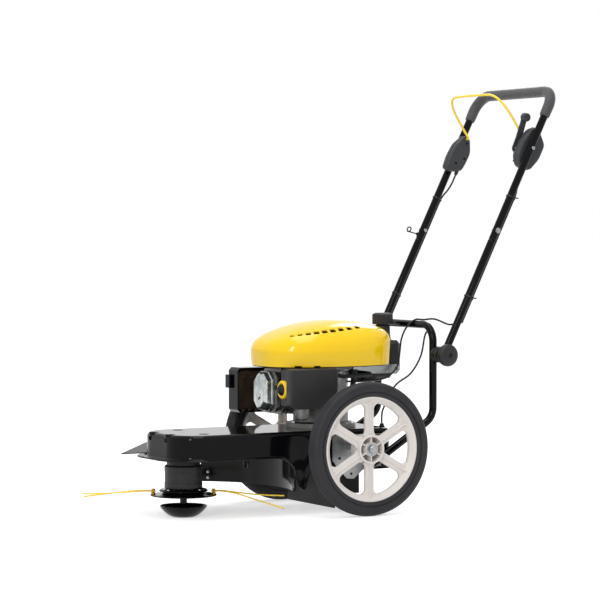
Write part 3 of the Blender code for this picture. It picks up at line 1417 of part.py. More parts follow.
def breather_hose():
    """The rubber hose from the crankcase to the cleaner's back."""
    start = Vector((CLEANER_IN + 0.030, CLEANER_REAR - 0.004 + 3 * SEAT, TOP + 0.150))
    end = Vector((CASE_R * 0.60, ENGINE_Y + CASE_R * 0.80, TOP + 0.148))
    end = Vector((end.x, end.y, end.z)) + Vector((0.60, 0.80, 0)) * 0.0016
    route = flowing([start, start + Y_AXIS * 0.008, start + Y_AXIS * 0.016,
                     start + Vector((0.014, 0.040, -0.008)),
                     end + Vector((0.058, 0.034, -0.004)), end + Vector((0.60, 0.80, 0)) * 0.026,
                     end + Vector((0.60, 0.80, 0)) * 0.010, end], 3)
    return pipes([route], 0.006, 1)


GOVERNOR = Vector((0.0918, -0.014, TOP + 0.118))


def control_bracket():
    """The zinc control plate on the crankcase's left, with the governor's pin."""
    z = TOP + 0.126
    x = 0.0880
    plate = sheet([[(-0.040, z - 0.018), (0.016, z - 0.018), (0.016, z + 0.010),
                    (0.004, z + 0.020), (-0.040, z + 0.020)]], 0.002, side_plane(x + 0.001))
    tab = block((CASE_R - 0.010, ENGINE_Y - 0.016, z - 0.016),
                (x + 0.0015, ENGINE_Y + 0.016, z - 0.013))
    pin = rods([((x + 0.001, GOVERNOR.y, GOVERNOR.z), (x + 0.0085, GOVERNOR.y, GOVERNOR.z))],
               0.003, 10)
    head = rods([((x + 0.0078, GOVERNOR.y, GOVERNOR.z), (x + 0.0100, GOVERNOR.y, GOVERNOR.z))],
                0.005, 8)
    return join(plate, tab, pin, head)


def governor_arm():
    """The small lever that the throttle cable moves."""
    length = 0.034
    outline = arc(0, 0, 0.006, 180, 360, 6) + arc(0, length, 0.0045, 0, 180, 5)
    place = (Matrix.Translation((GOVERNOR.x + 0.0015, GOVERNOR.y, GOVERNOR.z))
             @ side_plane(0) @ Matrix.Rotation(radians(-20), 4, "Z"))
    return sheet([outline, circle(0, 0, 0.003 + SEAT, 10)], 0.002, place)


# Handle

MID_GAP = 0.030            # the sleeve joint, each way from its bolt
SLEEVE_R = 0.0080
SLEEVE_BOLT_R = 0.003
LEG_OUT = HOOP_X + TUBE_D / 2
TUBE_IN = HANDLE_X - TUBE_D / 2
RATCHET_MID = (LEG_OUT + TUBE_IN) / 2


def lower_tube(way):
    """A straight tube from the pivot, swaged at its top to enter the upper handle."""
    x = way * HANDLE_X
    bar = rods([(handle_point(-0.017, x), handle_point(HANDLE_MID - MID_GAP, x))], TUBE_D / 2, 12)
    swage = rods([(handle_point(HANDLE_MID - MID_GAP - 0.004, x),
                   handle_point(HANDLE_MID + MID_GAP, x))], SLEEVE_R, 12)
    join(bar, swage)
    cut(bar, rods([(handle_point(-0.03, x), handle_point(HANDLE_MID + MID_GAP + 0.01, x))],
                  SLEEVE_R - TUBE_WALL, 6))
    join(bar, handle_ratchet(way))
    stud = [((way * (HANDLE_X - 0.03), PIVOT.y, PIVOT.z), (way * (HANDLE_X + 0.03), PIVOT.y, PIVOT.z))]
    pin = [across(HANDLE_MID, 0, x - 0.03, x + 0.03)]
    return cut(bar, rods(stud, STUD_D / 2 + 2 * SEAT, 8), rods(pin, SLEEVE_BOLT_R + 2 * SEAT, 8))


def handle_route(start, extra=0.0):
    """Up one leg, round the crossbar and down the other, from a distance up the handle."""
    top_left = handle_point(HANDLE_LEN, HANDLE_X)
    points = [handle_point(start - extra, HANDLE_X), top_left] + mirrored(
        [top_left, handle_point(start - extra, HANDLE_X)])
    return bent(points, [HANDLE_BEND] * 2, 4)


def upper_handle():
    """The U-shaped tube whose legs take the lower tubes, with the joints' bolts and the guide."""
    start = HANDLE_MID - MID_GAP + SEAT
    bar = pipes([handle_route(start)], TUBE_D / 2)
    hollow = pipes([handle_route(HANDLE_MID + MID_GAP - TUBE_D)], TUBE_D / 2 - TUBE_WALL)
    wells = []
    for x in (HANDLE_X, -HANDLE_X):
        wells.append((handle_point(start - 0.01, x), handle_point(HANDLE_MID + MID_GAP + 0.002, x)))
    controls = [across(CONTROL_BOLT, 0, HANDLE_X + 0.03, HANDLE_X - 0.03),
                across(CONTROL_BOLT, 0, -HANDLE_X - 0.03, -HANDLE_X + 0.03)]
    join(bar, rope_guide())
    cut(bar, rods(wells, SLEEVE_R + SEAT, 12), hollow, rods(controls, CONTROL_BOLT_R + 2 * SEAT, 6))
    return join(bar, sleeve_bolt(1), sleeve_bolt(-1))


def foam_grip():
    """Foam over the crossbar and round both bends."""
    start = HANDLE_LEN - GRIP_DROP
    foam = pipes([handle_route(start)], GRIP_D / 2, 2)
    bore = pipes([handle_route(start, 0.006)], TUBE_D / 2 + SEAT, 2)
    return cut(foam, bore)


def ratchet(back, tip):
    """A disc from its back face to the tips of the radial teeth on its other face."""
    count = 2 * TEETH
    valley = tip + (TOOTH if back > tip else -TOOTH)
    bore = STUD_D / 2 + SEAT
    rings = []
    for radius, faces in ((bore, (back, back)), (RATCHET_R, (back, back)),
                          (RATCHET_R, (tip, valley)), (bore, (tip, valley))):
        rings.append([(faces[k % 2], PIVOT.y + radius * cos(2 * pi * k / count),
                       PIVOT.z + radius * sin(2 * pi * k / count)) for k in range(count)])
    bm = bmesh.new()
    rows = [[bm.verts.new(p) for p in ring] for ring in rings]
    for first, second in zip(rows, rows[1:] + rows[:1]):
        for k in range(count):
            j = (k + 1) % count
            bm.faces.new((first[k], first[j], second[j], second[k]))
    bmesh.ops.recalc_face_normals(bm, faces=bm.faces)
    return from_bmesh(bm)


def hoop_ratchets():
    """The toothed discs that are welded to the hoop's legs."""
    root = LEG_OUT - RATCHET_ROOT
    tip = RATCHET_MID - SEAT / 2
    return [ratchet(root, tip), ratchet(-root, -tip)]


def handle_ratchet(way):
    """The partner of one of them, welded to a lower tube."""
    return ratchet(way * (TUBE_IN + RATCHET_ROOT), way * (RATCHET_MID + SEAT / 2))


def pivot_bolts():
    """A carriage bolt through each joint, its head inside the hoop."""
    shape = []
    inner = HOOP_X - TUBE_D / 2 + 0.0005
    for way in (1, -1):
        shape.append(turned(
            [(0, KNOB_X + 0.010), (STUD_D / 2, KNOB_X + 0.010), (STUD_D / 2, inner),
             (STUD_D, inner), (STUD_D * 0.8, inner - 0.0035), (0, inner - 0.0045)],
            (0, PIVOT.y, PIVOT.z), X_AXIS * way, 8))
    return shape


def knob(way):
    """A domed round knob with a hex socket, screwed on the pivot bolt."""
    r = KNOB_R
    shape = turned(
        [(0, KNOB_T), (r * 0.55, KNOB_T - 0.0008), (r * 0.84, KNOB_T - 0.004),
         (r * 0.97, KNOB_T - 0.009), (r, KNOB_T - 0.0135), (r * 0.985, 0.004),
         (r * 0.93, 0.0), (0, 0)],
        (way * KNOB_X, PIVOT.y, PIVOT.z), X_AXIS * way, 14)
    well = rods([((way * (KNOB_X - 0.005), PIVOT.y, PIVOT.z),
                  (way * (KNOB_X + 0.0115), PIVOT.y, PIVOT.z))], STUD_D / 2 + RUN, 8)
    socket = rods([((way * (KNOB_X + KNOB_T - 0.006), PIVOT.y, PIVOT.z),
                    (way * (KNOB_X + KNOB_T + 0.01), PIVOT.y, PIVOT.z))], 0.0060, 6)
    return cut(shape, well, socket)


def sleeve_bolt(way):
    """The bolt through a sleeve joint, its head outside and its nut inside."""
    outer = HANDLE_X + TUBE_D / 2 - 0.0005
    inner = HANDLE_X - TUBE_D / 2 + 0.0005
    return turned(
        [(0, outer + 0.004), (0.0045, outer + 0.004), (0.0058, outer + 0.002),
         (0.0058, outer), (SLEEVE_BOLT_R, outer), (SLEEVE_BOLT_R, inner), (0.0055, inner),
         (0.0055, inner - 0.005), (0, inner - 0.005)],
        handle_point(HANDLE_MID), X_AXIS * way, 6)


def control_bolt(way):
    """The bolt that holds a control housing to its tube; on the right its nut shows."""
    outer = HANDLE_X + TUBE_D / 2 + SEAT
    head = [(0, outer + 0.004), (0.0055, outer + 0.004), (0.0055, outer), (CONTROL_BOLT_R, outer)]
    if way > 0:
        end = [(CONTROL_BOLT_R, CONTROL_IN + 0.007), (0, CONTROL_IN + 0.007)]
    else:
        nut = CONTROL_IN + 0.001
        end = [(CONTROL_BOLT_R, nut), (0.0050, nut), (0.0050, nut - 0.004), (0, nut - 0.004)]
    return turned(head + end, handle_point(CONTROL_BOLT), X_AXIS * way, 8)


def rope_guide():
    """A pigtail of bent wire on a stud of the right tube, for the starter rope."""
    at = handle_point(HANDLE_MID - 0.015, -HANDLE_X)
    out = (FRONT * 0.55 - X_AXIS * 0.83).normalized()
    root = at + out * (TUBE_D / 2)
    band = rods([(at, root + out * 0.003)], 0.0055, 8)
    coil = []
    for k in range(9):
        a = 2 * pi * k / 8
        coil.append(root + out * (0.030 + 0.007 * sin(a)) + ALONG * (0.007 * (1 - cos(a)))
                    - X_AXIS * (0.0010 * k))
    wire = pipes([[root - out * 0.0010, root + out * 0.018] + coil], 0.0018, 1)
    return join(band, wire)


def handle_frame(at):
    """Local z runs up the handle, local x is the mower's X."""
    return Matrix((
        (1, 0, 0, at.x), (0, -FRONT.y, ALONG.y, at.y), (0, -FRONT.z, ALONG.z, at.z),
        (0, 0, 0, 1)))


def on_handle(x):
    """Outline x runs up the handle and outline y ahead of it, on the plane X = x."""
    return Matrix((
        (0, 0, 1, x), (ALONG.y, FRONT.y, 0, PIVOT.y), (ALONG.z, FRONT.z, 0, PIVOT.z),
        (0, 0, 0, 1)))


def across(along, ahead, start, end):
    """A run parallel to the mower's X between two sides."""
    return handle_point(along, start, ahead), handle_point(along, end, ahead)


def control_housing(way, outline):
    """A moulding bolted to the inner side of its tube, with the bail's bearing."""
    middle = way * (CONTROL_FACE + CONTROL_IN) / 2
    inner = way * CONTROL_IN
    body = sheet([outline], CONTROL_W, on_handle(middle))
    soften(body, 0.005)
    seam = sheet([[(a + (a - CONTROL_BOLT) * 0.025, h + (h - 0.004) * 0.045)
                   for a, h in outline]], 0.003, on_handle(middle))
    nose = rods([(handle_point(NOSE_LOW, middle, NOSE_AHEAD),
                  handle_point(NOSE_LOW + 0.040, middle, NOSE_AHEAD))], 0.0052, 8)
    join(body, seam, nose, control_bolt(way))
    cable = rods([(handle_point(NOSE_LOW - 0.01, middle, NOSE_AHEAD),
                   handle_point(NOSE_LOW + 0.011, middle, NOSE_AHEAD))],
                 CABLE_D / 2 + SEAT, 8)
    bearing = rods([across(BAIL_AT, BAIL_AHEAD, inner - way * 0.005, inner + way * 0.0085)],
                   BAIL_D / 2 + RUN, 10)
    return cut(body, cable, bearing)


def bail_housing():
    """The right housing, which the bail pulls its cable through."""
    outline = [(0.677, 0.006), (0.672, 0.016), (0.640, 0.032), (0.600, 0.036), (0.562, 0.032),
               (0.560, 0.014), (0.576, -0.018), (0.600, -0.022), (0.636, -0.023), (0.668, -0.006)]
    return control_housing(-1, outline)


def lever_housing():
    """The left housing, with the pin and the screw that the throttle lever turns on."""
    outline = [(0.696, 0.004), (0.680, 0.016), (0.640, 0.025), (0.600, 0.024), (0.576, 0.006),
               (0.574, -0.018), (0.582, -0.034), (0.620, -0.047), (0.664, -0.047), (0.692, -0.014)]
    body = control_housing(1, outline)
    pin_end = CONTROL_IN - RUN * 2 - LEVER_T
    pin = rods([across(LEVER_AT, LEVER_AHEAD, CONTROL_IN + 0.002, pin_end - 0.001)], 0.004, 10)
    head = rods([across(LEVER_AT, LEVER_AHEAD, pin_end, pin_end - 0.003)], 0.007, 6)
    return join(body, pin, head)


def leaning(angle):
    """The direction that leans ahead of the handle by an angle."""
    return ALONG * cos(radians(angle)) + FRONT * sin(radians(angle))


def bail():
    """The bent rod that is held against the grip to drive the line head."""
    foot = handle_point(BAIL_AT, 0, BAIL_AHEAD)
    up = leaning(BAIL_LEAN)
    points = [foot + X_AXIS * (CONTROL_IN + 0.0075), foot + X_AXIS * (CONTROL_IN - 0.0105),
              foot + X_AXIS * (CONTROL_IN - 0.014) + up * (BAIL_REACH * 0.50),
              foot + X_AXIS * (CONTROL_IN - 0.024) + up * (BAIL_REACH * 0.86),
              foot + X_AXIS * (CONTROL_IN - 0.048) + up * BAIL_REACH]
    tight, wide = 0.009, 0.026
    route = bent(points + mirrored(reversed(points)), [tight] + [wide] * 6 + [tight], 2)
    return pipes([route], BAIL_D / 2, 1)


def throttle_lever():
    """A flat lever on the left housing's inner face, with a round boss at its tip."""
    x = CONTROL_IN - RUN - LEVER_T / 2
    place = on_handle(x) @ Matrix.Translation((LEVER_AT, LEVER_AHEAD, 0))
    place = place @ Matrix.Rotation(radians(LEVER_LEAN), 4, "Z")
    outline = (arc(0, 0, 0.012, 90, 270, 6) + [(0.030, -0.0095), (LEVER_L - 0.014, -0.0085)]
               + arc(LEVER_L, 0, 0.0105, -70, 70, 4) + [(LEVER_L - 0.014, 0.0085), (0.030, 0.0095)])
    arm = sheet([outline, circle(0, 0, 0.0045, 10)], LEVER_T, place)
    tip = handle_point(LEVER_AT, x, LEVER_AHEAD) + leaning(LEVER_LEAN) * LEVER_L
    boss = rods([(tip - X_AXIS * 0.001, tip + X_AXIS * 0.013)], 0.0132, 12, 0.0115)
    return join(arm, boss)


TIES = (0.175, 0.480)      # places of the clips along the handle


def cable_clip(x, distance):
    """A band round a tube and its cable, moulded fast on the cable."""
    def band(tube_r, cable_r):
        reach = -CABLE_AHEAD
        lean = 180 / pi * acos((tube_r - cable_r) / reach)
        return (arc(0, 0, tube_r, -270 + lean, 90 - lean, 12)
                + arc(0, reach, cable_r, 90 - lean, 90 + lean, 2))

    grip = 0.0014
    outer = band(TUBE_D / 2 + SEAT + grip, CABLE_D / 2 + grip)
    inner = band(TUBE_D / 2 + SEAT, CABLE_D / 2 - SEAT)
    return sheet([outer, inner], 0.0045, handle_frame(handle_point(distance, x)))


def upper_cable(way):
    """From a control housing down the back of its tube, to the fold."""
    middle = (CONTROL_FACE + CONTROL_IN) / 2
    route = [handle_point(NOSE_LOW + 0.010, middle, NOSE_AHEAD),
             handle_point(NOSE_LOW - 0.010, middle, NOSE_AHEAD - 0.0005),
             handle_point(0.520, middle + 0.010, CABLE_AHEAD - 0.004),
             handle_point(0.490, HANDLE_X, CABLE_AHEAD), handle_point(0.300, HANDLE_X, CABLE_AHEAD),
             handle_point(CABLE_SPLIT, HANDLE_X, CABLE_AHEAD)]
    if way < 0:
        route = mirrored(route)
    clips = [cable_clip(way * HANDLE_X, distance) for distance in TIES]
    return join(pipes([route], CABLE_D / 2), *clips)


BAR_Z = TOP + HOOP_TOP
OVER_BAR = (TUBE_D + CABLE_D) / 2 + 2 * SEAT


def at_the_fold(side):
    """Where a lower cable takes over from the upper one."""
    start = CABLE_SPLIT - 2 * SEAT
    behind = [handle_point(start - drop, side * HANDLE_X, CABLE_AHEAD) for drop in (0, 0.005, 0.010)]
    round_it = [handle_point(start - drop, side * (HANDLE_X - inward), ahead)
                for drop, inward, ahead in ((0.015, 0.0106, -0.0106), (0.022, 0.0149, 0.0),
                                            (0.030, 0.0185, 0.0150))]
    return behind + round_it


def throttle_cable():
    """Over the hoop's bar and down to the engine's control plate."""
    route = at_the_fold(1) + [Vector(p) for p in (
        (0.140, HOOP_Y + 0.008, BAR_Z + OVER_BAR + 0.003),
        (0.095, HOOP_Y, BAR_Z + OVER_BAR), (0.062, HOOP_Y - 0.006, BAR_Z + OVER_BAR - 0.001),
        (0.047, HOOP_Y - 0.024, BAR_Z - 0.008), (0.046, HOOP_Y - 0.040, BAR_Z - 0.040),
        (0.046, HOOP_Y - 0.046, BAR_Z - 0.080), (0.052, HOOP_Y - 0.058, BAR_Z - 0.115),
        (0.070, HOOP_Y - 0.105, TOP + 0.131), (0.0890, 0.070, TOP + 0.125),
        (0.0890, 0.0170, TOP + 0.126))]
    return pipes([flowing(route, 2)], CABLE_D / 2, 1)


GLAND = Vector((0.100, HOOP_Y - 0.136, TOP))


def clutch_cable():
    """Along the back of the hoop's bar and down through the gland in the deck top."""
    route = at_the_fold(-1) + [Vector(p) for p in (
        (-0.138, HOOP_Y + OVER_BAR + 0.002, BAR_Z + 0.003),
        (-0.080, HOOP_Y + OVER_BAR, BAR_Z), (0.000, HOOP_Y + OVER_BAR, BAR_Z),
        (0.062, HOOP_Y + OVER_BAR + 0.001, BAR_Z), (0.095, HOOP_Y + 0.018, BAR_Z - 0.008),
        (0.106, HOOP_Y - 0.002, BAR_Z - 0.030), (0.104, HOOP_Y - 0.014, BAR_Z - 0.085),
        (0.100, HOOP_Y - 0.044, BAR_Z - 0.132), (0.100, HOOP_Y - 0.094, TOP + 0.110),
        (0.100, HOOP_Y - 0.130, TOP + 0.052), GLAND + Z_AXIS * 0.028, GLAND + Z_AXIS * 0.0106)]
    return pipes([flowing(route, 2)], CABLE_D / 2, 1)


def cable_gland():
    """The rubber-lined collar where the clutch cable enters the deck."""
    return turned(
        [(0, 0.0100), (0.0050, 0.0100), (0.0065, 0.0040), (0.0080, 0.0035), (0.0080, -0.001),
         (0, -0.001)], GLAND, Z_AXIS, 10)


# Assembly

handle_pivot = pivot("handle_pivot", PIVOT, mower)
bail_pivot = pivot("bail_pivot", handle_point(BAIL_AT, 0, BAIL_AHEAD), handle_pivot)
lever_pivot = pivot("lever_pivot", handle_point(LEVER_AT, CONTROL_IN, LEVER_AHEAD), handle_pivot)
wheel_axis_left = pivot("wheel_axis_left", (WHEEL_X, 0, AXLE_Z), mower)
wheel_axis_right = pivot("wheel_axis_right", (-WHEEL_X, 0, AXLE_Z), mower)
spindle_axis = pivot("spindle_axis", (0, HEAD_Y, HEAD_Z), mower)
crank_axis = pivot("crank_axis", (0, ENGINE_Y, TOP), mower)
arm_axis = pivot("arm_axis", (ARM_PIVOT.x, ARM_PIVOT.y, TOP), mower)
idler_axis = pivot("idler_axis", (IDLER_X, IDLER_Y, BELT_MID), arm_axis)
starter_axis = pivot("starter_axis", (0, ENGINE_Y, STARTER_Z), mower)
governor_axis = pivot("governor_axis", GOVERNOR, mower)
primer_axis = pivot("primer_axis", PRIMER, mower)
cap_axis = pivot("cap_axis", TANK_NECK + Z_AXIS * CAP_Z, mower)
grip_axis = pivot("grip_axis", STARTER_GRIP, mower)

put(deck(), "deck", BLACK_PAINT)
put(side_plate(), "side_plate", BLACK_PAINT)
put(string_guard(), "string_guard", DARK_PLASTIC)
put(rear_flap(), "rear_flap", RUBBER)
put(hoop_frame(), "hoop_frame", BLACK_PAINT)
put(spindle_housing(), "spindle_housing", DARK_PLASTIC)
put(drive_belt(), "drive_belt", RUBBER)

for label, way, hinge in (("left", 1, wheel_axis_left), ("right", -1, wheel_axis_right)):
    put(tyre(way * WHEEL_X), "tyre_" + label, TYRE_RUBBER, hinge)
    put(rim(way * WHEEL_X), "rim_" + label, WHEEL_PLASTIC, hinge)
    put(axle_plate(way), "axle_plate_" + label, ZINC)
    put(lower_tube(way), "lower_tube_" + label, BLACK_PAINT, handle_pivot)
    put(upper_cable(way), "upper_cable_" + label, RUBBER, handle_pivot)
    put(knob(way), "knob_" + label, DARK_PLASTIC,
        pivot("knob_axis_" + label, (way * KNOB_X, PIVOT.y, PIVOT.z), handle_pivot))

put(engine_block(), "engine_block", CAST)
put(valve_cover(), "valve_cover", CAST)
put(blower_base(), "blower_base", BLACK_PAINT)
put(engine_shroud(), "engine_shroud", YELLOW_PLASTIC)
put(ignition_coil(), "ignition_coil", DARK_PLASTIC)
put(spark_plug(), "spark_plug", RUBBER)
put(air_cleaner_base(), "air_cleaner_base", DARK_PLASTIC)
put(air_cleaner_cover(), "air_cleaner_cover", DARK_PLASTIC)
put(primer_ring(), "primer_ring", YELLOW_PLASTIC)
put(carburettor(), "carburettor", CAST)
put(muffler(), "muffler", HOT_STEEL)
put(muffler_guard(), "muffler_guard", BLACK_PAINT)
put(fuel_tank(), "fuel_tank", DARK_PLASTIC)
put(tank_bracket(), "tank_bracket", ZINC)
put(oil_filler(), "oil_filler", STEEL)
put(breather_hose(), "breather_hose", RUBBER)

put(crankshaft(), "crankshaft", STEEL, crank_axis)
put(flywheel(), "flywheel", CAST, crank_axis)
put(pulley(DRIVE_R, (0, ENGINE_Y, BELT_MID), SEAT_R + SEAT), "drive_pulley", CAST, crank_axis)
put(starter_pulley(), "starter_pulley", DARK_PLASTIC, starter_axis)
put(starter_grip(), "starter_grip", RUBBER, grip_axis)
put(primer_bulb(), "primer_bulb", RUBBER, primer_axis)
put(fuel_cap(), "fuel_cap", DARK_PLASTIC, cap_axis)
put(governor_arm(), "governor_arm", ZINC, governor_axis)
put(idler_arm(), "idler_arm", ZINC, arm_axis)
put(idler_pulley(), "idler_pulley", DARK_PLASTIC, idler_axis)

put(spindle_shaft(), "spindle_shaft", STEEL, spindle_axis)
put(pulley(DRIVEN_R, (0, HEAD_Y, BELT_MID), SPINDLE_D / 2 * 0.7 + SEAT), "driven_pulley", CAST,
    spindle_axis)
put(head_plate(), "head_plate", BLACK_PAINT, spindle_axis)
put(head_disc(), "head_disc", BLACK_PAINT, spindle_axis)
put(trimmer_line(LINE_ANGLES[0], -0.014, -0.044), "trimmer_line_rear", LINE_NYLON, spindle_axis)
put(trimmer_line(LINE_ANGLES[1], -0.006, -0.017), "trimmer_line_front", LINE_NYLON, spindle_axis)
put(ground_dish(), "ground_dish", BLACK_PAINT, spindle_axis)

put(upper_handle(), "upper_handle", BLACK_PAINT, handle_pivot)
put(foam_grip(), "foam_grip", FOAM, handle_pivot)
put(lever_housing(), "lever_housing", GREY_PLASTIC, handle_pivot)
put(bail_housing(), "bail_housing", GREY_PLASTIC, handle_pivot)
put(throttle_cable(), "throttle_cable", RUBBER)
put(clutch_cable(), "clutch_cable", RUBBER)
put(bail(), "bail", YELLOW_PLASTIC, bail_pivot)
put(throttle_lever(), "throttle_lever", DARK_PLASTIC, lever_pivot)
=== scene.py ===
# %% [markdown]
# # A petrol string trimmer mower, dressed
#
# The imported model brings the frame: every solid at its real size, grouped in the bodies that
# move. This script gives that frame its looks. Where a solid is faceted and the real piece is
# round, a smooth surface takes its place; where the solid is right, a copy with soft edges
# does. Lengths are in metres, +Y points back to the person who pushes, +X is the left.

import json

import bmesh
import bpy
import numpy as np
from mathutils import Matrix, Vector


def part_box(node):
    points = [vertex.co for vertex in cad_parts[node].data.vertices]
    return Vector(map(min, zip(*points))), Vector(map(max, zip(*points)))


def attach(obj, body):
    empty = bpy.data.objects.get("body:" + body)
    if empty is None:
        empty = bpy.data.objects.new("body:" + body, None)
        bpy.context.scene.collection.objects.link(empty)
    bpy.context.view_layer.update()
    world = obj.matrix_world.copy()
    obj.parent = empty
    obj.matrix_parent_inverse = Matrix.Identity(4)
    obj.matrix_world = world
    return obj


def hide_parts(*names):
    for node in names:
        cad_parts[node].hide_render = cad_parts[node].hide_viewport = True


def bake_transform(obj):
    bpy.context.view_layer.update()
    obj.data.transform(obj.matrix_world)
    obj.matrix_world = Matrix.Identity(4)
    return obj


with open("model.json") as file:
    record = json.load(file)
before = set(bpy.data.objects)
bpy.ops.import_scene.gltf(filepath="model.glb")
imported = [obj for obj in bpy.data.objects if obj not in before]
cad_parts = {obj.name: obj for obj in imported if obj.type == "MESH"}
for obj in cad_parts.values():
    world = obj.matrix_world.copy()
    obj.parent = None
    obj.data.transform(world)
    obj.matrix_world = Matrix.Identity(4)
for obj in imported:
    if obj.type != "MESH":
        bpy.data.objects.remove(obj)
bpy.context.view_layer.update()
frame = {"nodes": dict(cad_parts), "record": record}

# %% [markdown]
# ## Camera, light and floor
#
# The camera stands where the photographer stood: it was fitted to both wheels, the deck and
# the handle. A long lens, almost level, flattens the machine the way the picture does.

# %% The camera
LENS = 150.21              # on a 36 mm frame
CAMERA_AT = Vector((5.8904, -3.4572, 0.7655))
AZIMUTH, TILT = np.radians(60.4906), np.radians(1.6797)

camera = bpy.data.objects.new("camera", bpy.data.cameras.new("camera"))
camera.data.lens = LENS
camera.data.sensor_width = 36
camera.data.clip_end = 100
back = Vector((np.sin(AZIMUTH) * np.cos(TILT), -np.cos(AZIMUTH) * np.cos(TILT), np.sin(TILT)))
camera.location = CAMERA_AT
camera.rotation_euler = back.to_track_quat("Z", "Y").to_euler()
bpy.context.scene.collection.objects.link(camera)
bpy.context.scene.camera = camera
bpy.context.scene.view_settings.view_transform = "Standard"
print("camera", tuple(round(v, 2) for v in CAMERA_AT))

# %% [markdown]
# ## Shader maths as Python
#
# A material is easier to read as a formula than as a web of nodes. `Value` wraps a socket and
# lets Python's own operators add the Math nodes. `Tree` makes every other node with one
# method, from the node's settings and the values or links of its sockets.

# %% Sockets with operators
class Value:
    """A number that varies over the surface. Its operators add Math nodes."""

    def __init__(self, finish, socket):
        self.finish, self.socket = finish, socket

    def maths(self, operation, *others, clamp=False):
        node = self.finish.tree.nodes.new("ShaderNodeMath")
        node.operation, node.use_clamp = operation, clamp
        for place, value in enumerate((self,) + others):
            self.finish.plug(value, node.inputs[place])
        return Value(self.finish, node.outputs[0])

    def __add__(self, other):
        return self.maths("ADD", other)

    def __mul__(self, other):
        return self.maths("MULTIPLY", other)

    def __sub__(self, other):
        return self.maths("SUBTRACT", other)

    def __rsub__(self, other):
        return (self * -1.0).maths("ADD", other)

    __radd__, __rmul__ = __add__, __mul__

    def above(self, edge, soft):
        """0 below the edge, 1 above it, and a straight ramp between over the soft width."""
        return ((self - edge) * (1 / soft)).maths("ADD", 0.5, clamp=True)


class Tree:
    """A node tree that is filled through one method."""

    def __init__(self, tree):
        self.tree = tree

    def node(self, kind, settings=(), **inputs):
        """A node of a kind, its settings first, then the values or links of its sockets."""
        node = self.tree.nodes.new("ShaderNode" + kind)
        for key, value in dict(settings).items():
            setattr(node, key, value)
        for key, value in inputs.items():
            self.plug(value, node.inputs[key.replace("_", " ")])
        return node

    def plug(self, value, socket):
        if isinstance(value, Value):
            value = value.socket
        if isinstance(value, bpy.types.NodeSocket):
            self.tree.links.new(value, socket)
        else:
            socket.default_value = value


# %% [markdown]
# A `Finish` is a tree that starts with Blender's Principled shader and knows the few building
# blocks that all the finishes share. What is the same all over the surface is set on the
# shader's own sockets. Only the colour, the roughness and the relief vary, and `made` sets
# these three in one go.

# %% Finishes
class Finish(Tree):
    """One procedural material, in Object coordinates, so that it sits still on its piece."""

    def __init__(self, name, **steady):
        self.material = bpy.data.materials.new(name)
        self.material.use_nodes = True
        super().__init__(self.material.node_tree)
        self.shader = self.tree.nodes["Principled BSDF"]
        for socket, value in steady.items():
            self.set(socket.replace("_", " "), value)
        self.place = self.node("TexCoord").outputs["Object"]
        self.z = Value(self, self.node("SeparateXYZ", {}, Vector=self.place).outputs["Z"])

    def set(self, socket, value):
        self.plug(value, self.shader.inputs[socket])

    def noise(self, scale, detail=2.0, stretch=(1, 1, 1)):
        """Cloudy noise about 0.5; scale is in clouds a metre, stretch squeezes an axis."""
        at = self.node("Mapping", {}, Vector=self.place, Scale=stretch)
        cloud = self.node("TexNoise", {}, Vector=at.outputs[0], Scale=scale, Detail=detail)
        return Value(self, cloud.outputs[0])

    def cells(self, scale):
        """Distance to the nearest of scattered points, as for grain and pores."""
        node = self.node("TexVoronoi", {}, Vector=self.place, Scale=scale)
        return Value(self, node.outputs["Distance"])

    def blend(self, share, one, other):
        """A colour that goes from one to the other as the share goes from 0 to 1."""
        node = self.node("Mix", {"data_type": "RGBA"})
        self.plug(share, node.inputs[0])
        for colour, place in ((one, 6), (other, 7)):
            self.plug((*seen(*colour), 1), node.inputs[place])
        return node.outputs[2]

    def made(self, share, one, other, rough, relief, depth):
        """The material, once it has its colours, its roughness and its relief. The relief is
        a height of about 0 to 1, times a depth in metres."""
        self.set("Base Color", self.blend(share, one, other))
        self.set("Roughness", rough)
        bump = self.node("Bump", {}, Height=relief, Distance=depth, Strength=1.0)
        self.set("Normal", bump.outputs[0])
        return self.material


def seen(red, green, blue):
    """A colour as it looks, 0 to 255, as the light that the shader wants."""
    return tuple(((c / 255 + 0.055) / 1.055) ** 2.4 if c > 10 else c / 255 / 12.92
                 for c in (red, green, blue))


# %% [markdown]
# A white sweep surrounds the machine. Rays that only light it see a plain grey level; rays
# that show the background, straight or in a gloss, see white. The floor adds its share of
# white in the same way, on top of the light that falls on it, so that the shadow stays.

# %% World and floor
LEVEL = 0.62               # of the world as a light
FLOOR_GLOW = 0.55          # added to the floor for the rays that show it
FLOOR_R, FLOOR_SIDES = 14.0, 64


def seen_share(tree):
    """1 for the rays that show the background, 0 for those that carry light."""
    path = tree.node("LightPath")
    camera_ray, gloss, through = (Value(tree, path.outputs[name]) for name in
                                  ("Is Camera Ray", "Is Glossy Ray", "Is Transmission Ray"))
    return camera_ray.maths("MAXIMUM", gloss).maths("MAXIMUM", through)


world = bpy.data.worlds.new("sweep")
world.use_nodes = True
bpy.context.scene.world = world
sky = Tree(world.node_tree)
sky.plug(seen_share(sky) * (1 - LEVEL) + LEVEL, world.node_tree.nodes["Background"].inputs[1])
world.node_tree.nodes["Background"].inputs[0].default_value = (1, 1, 1, 1)

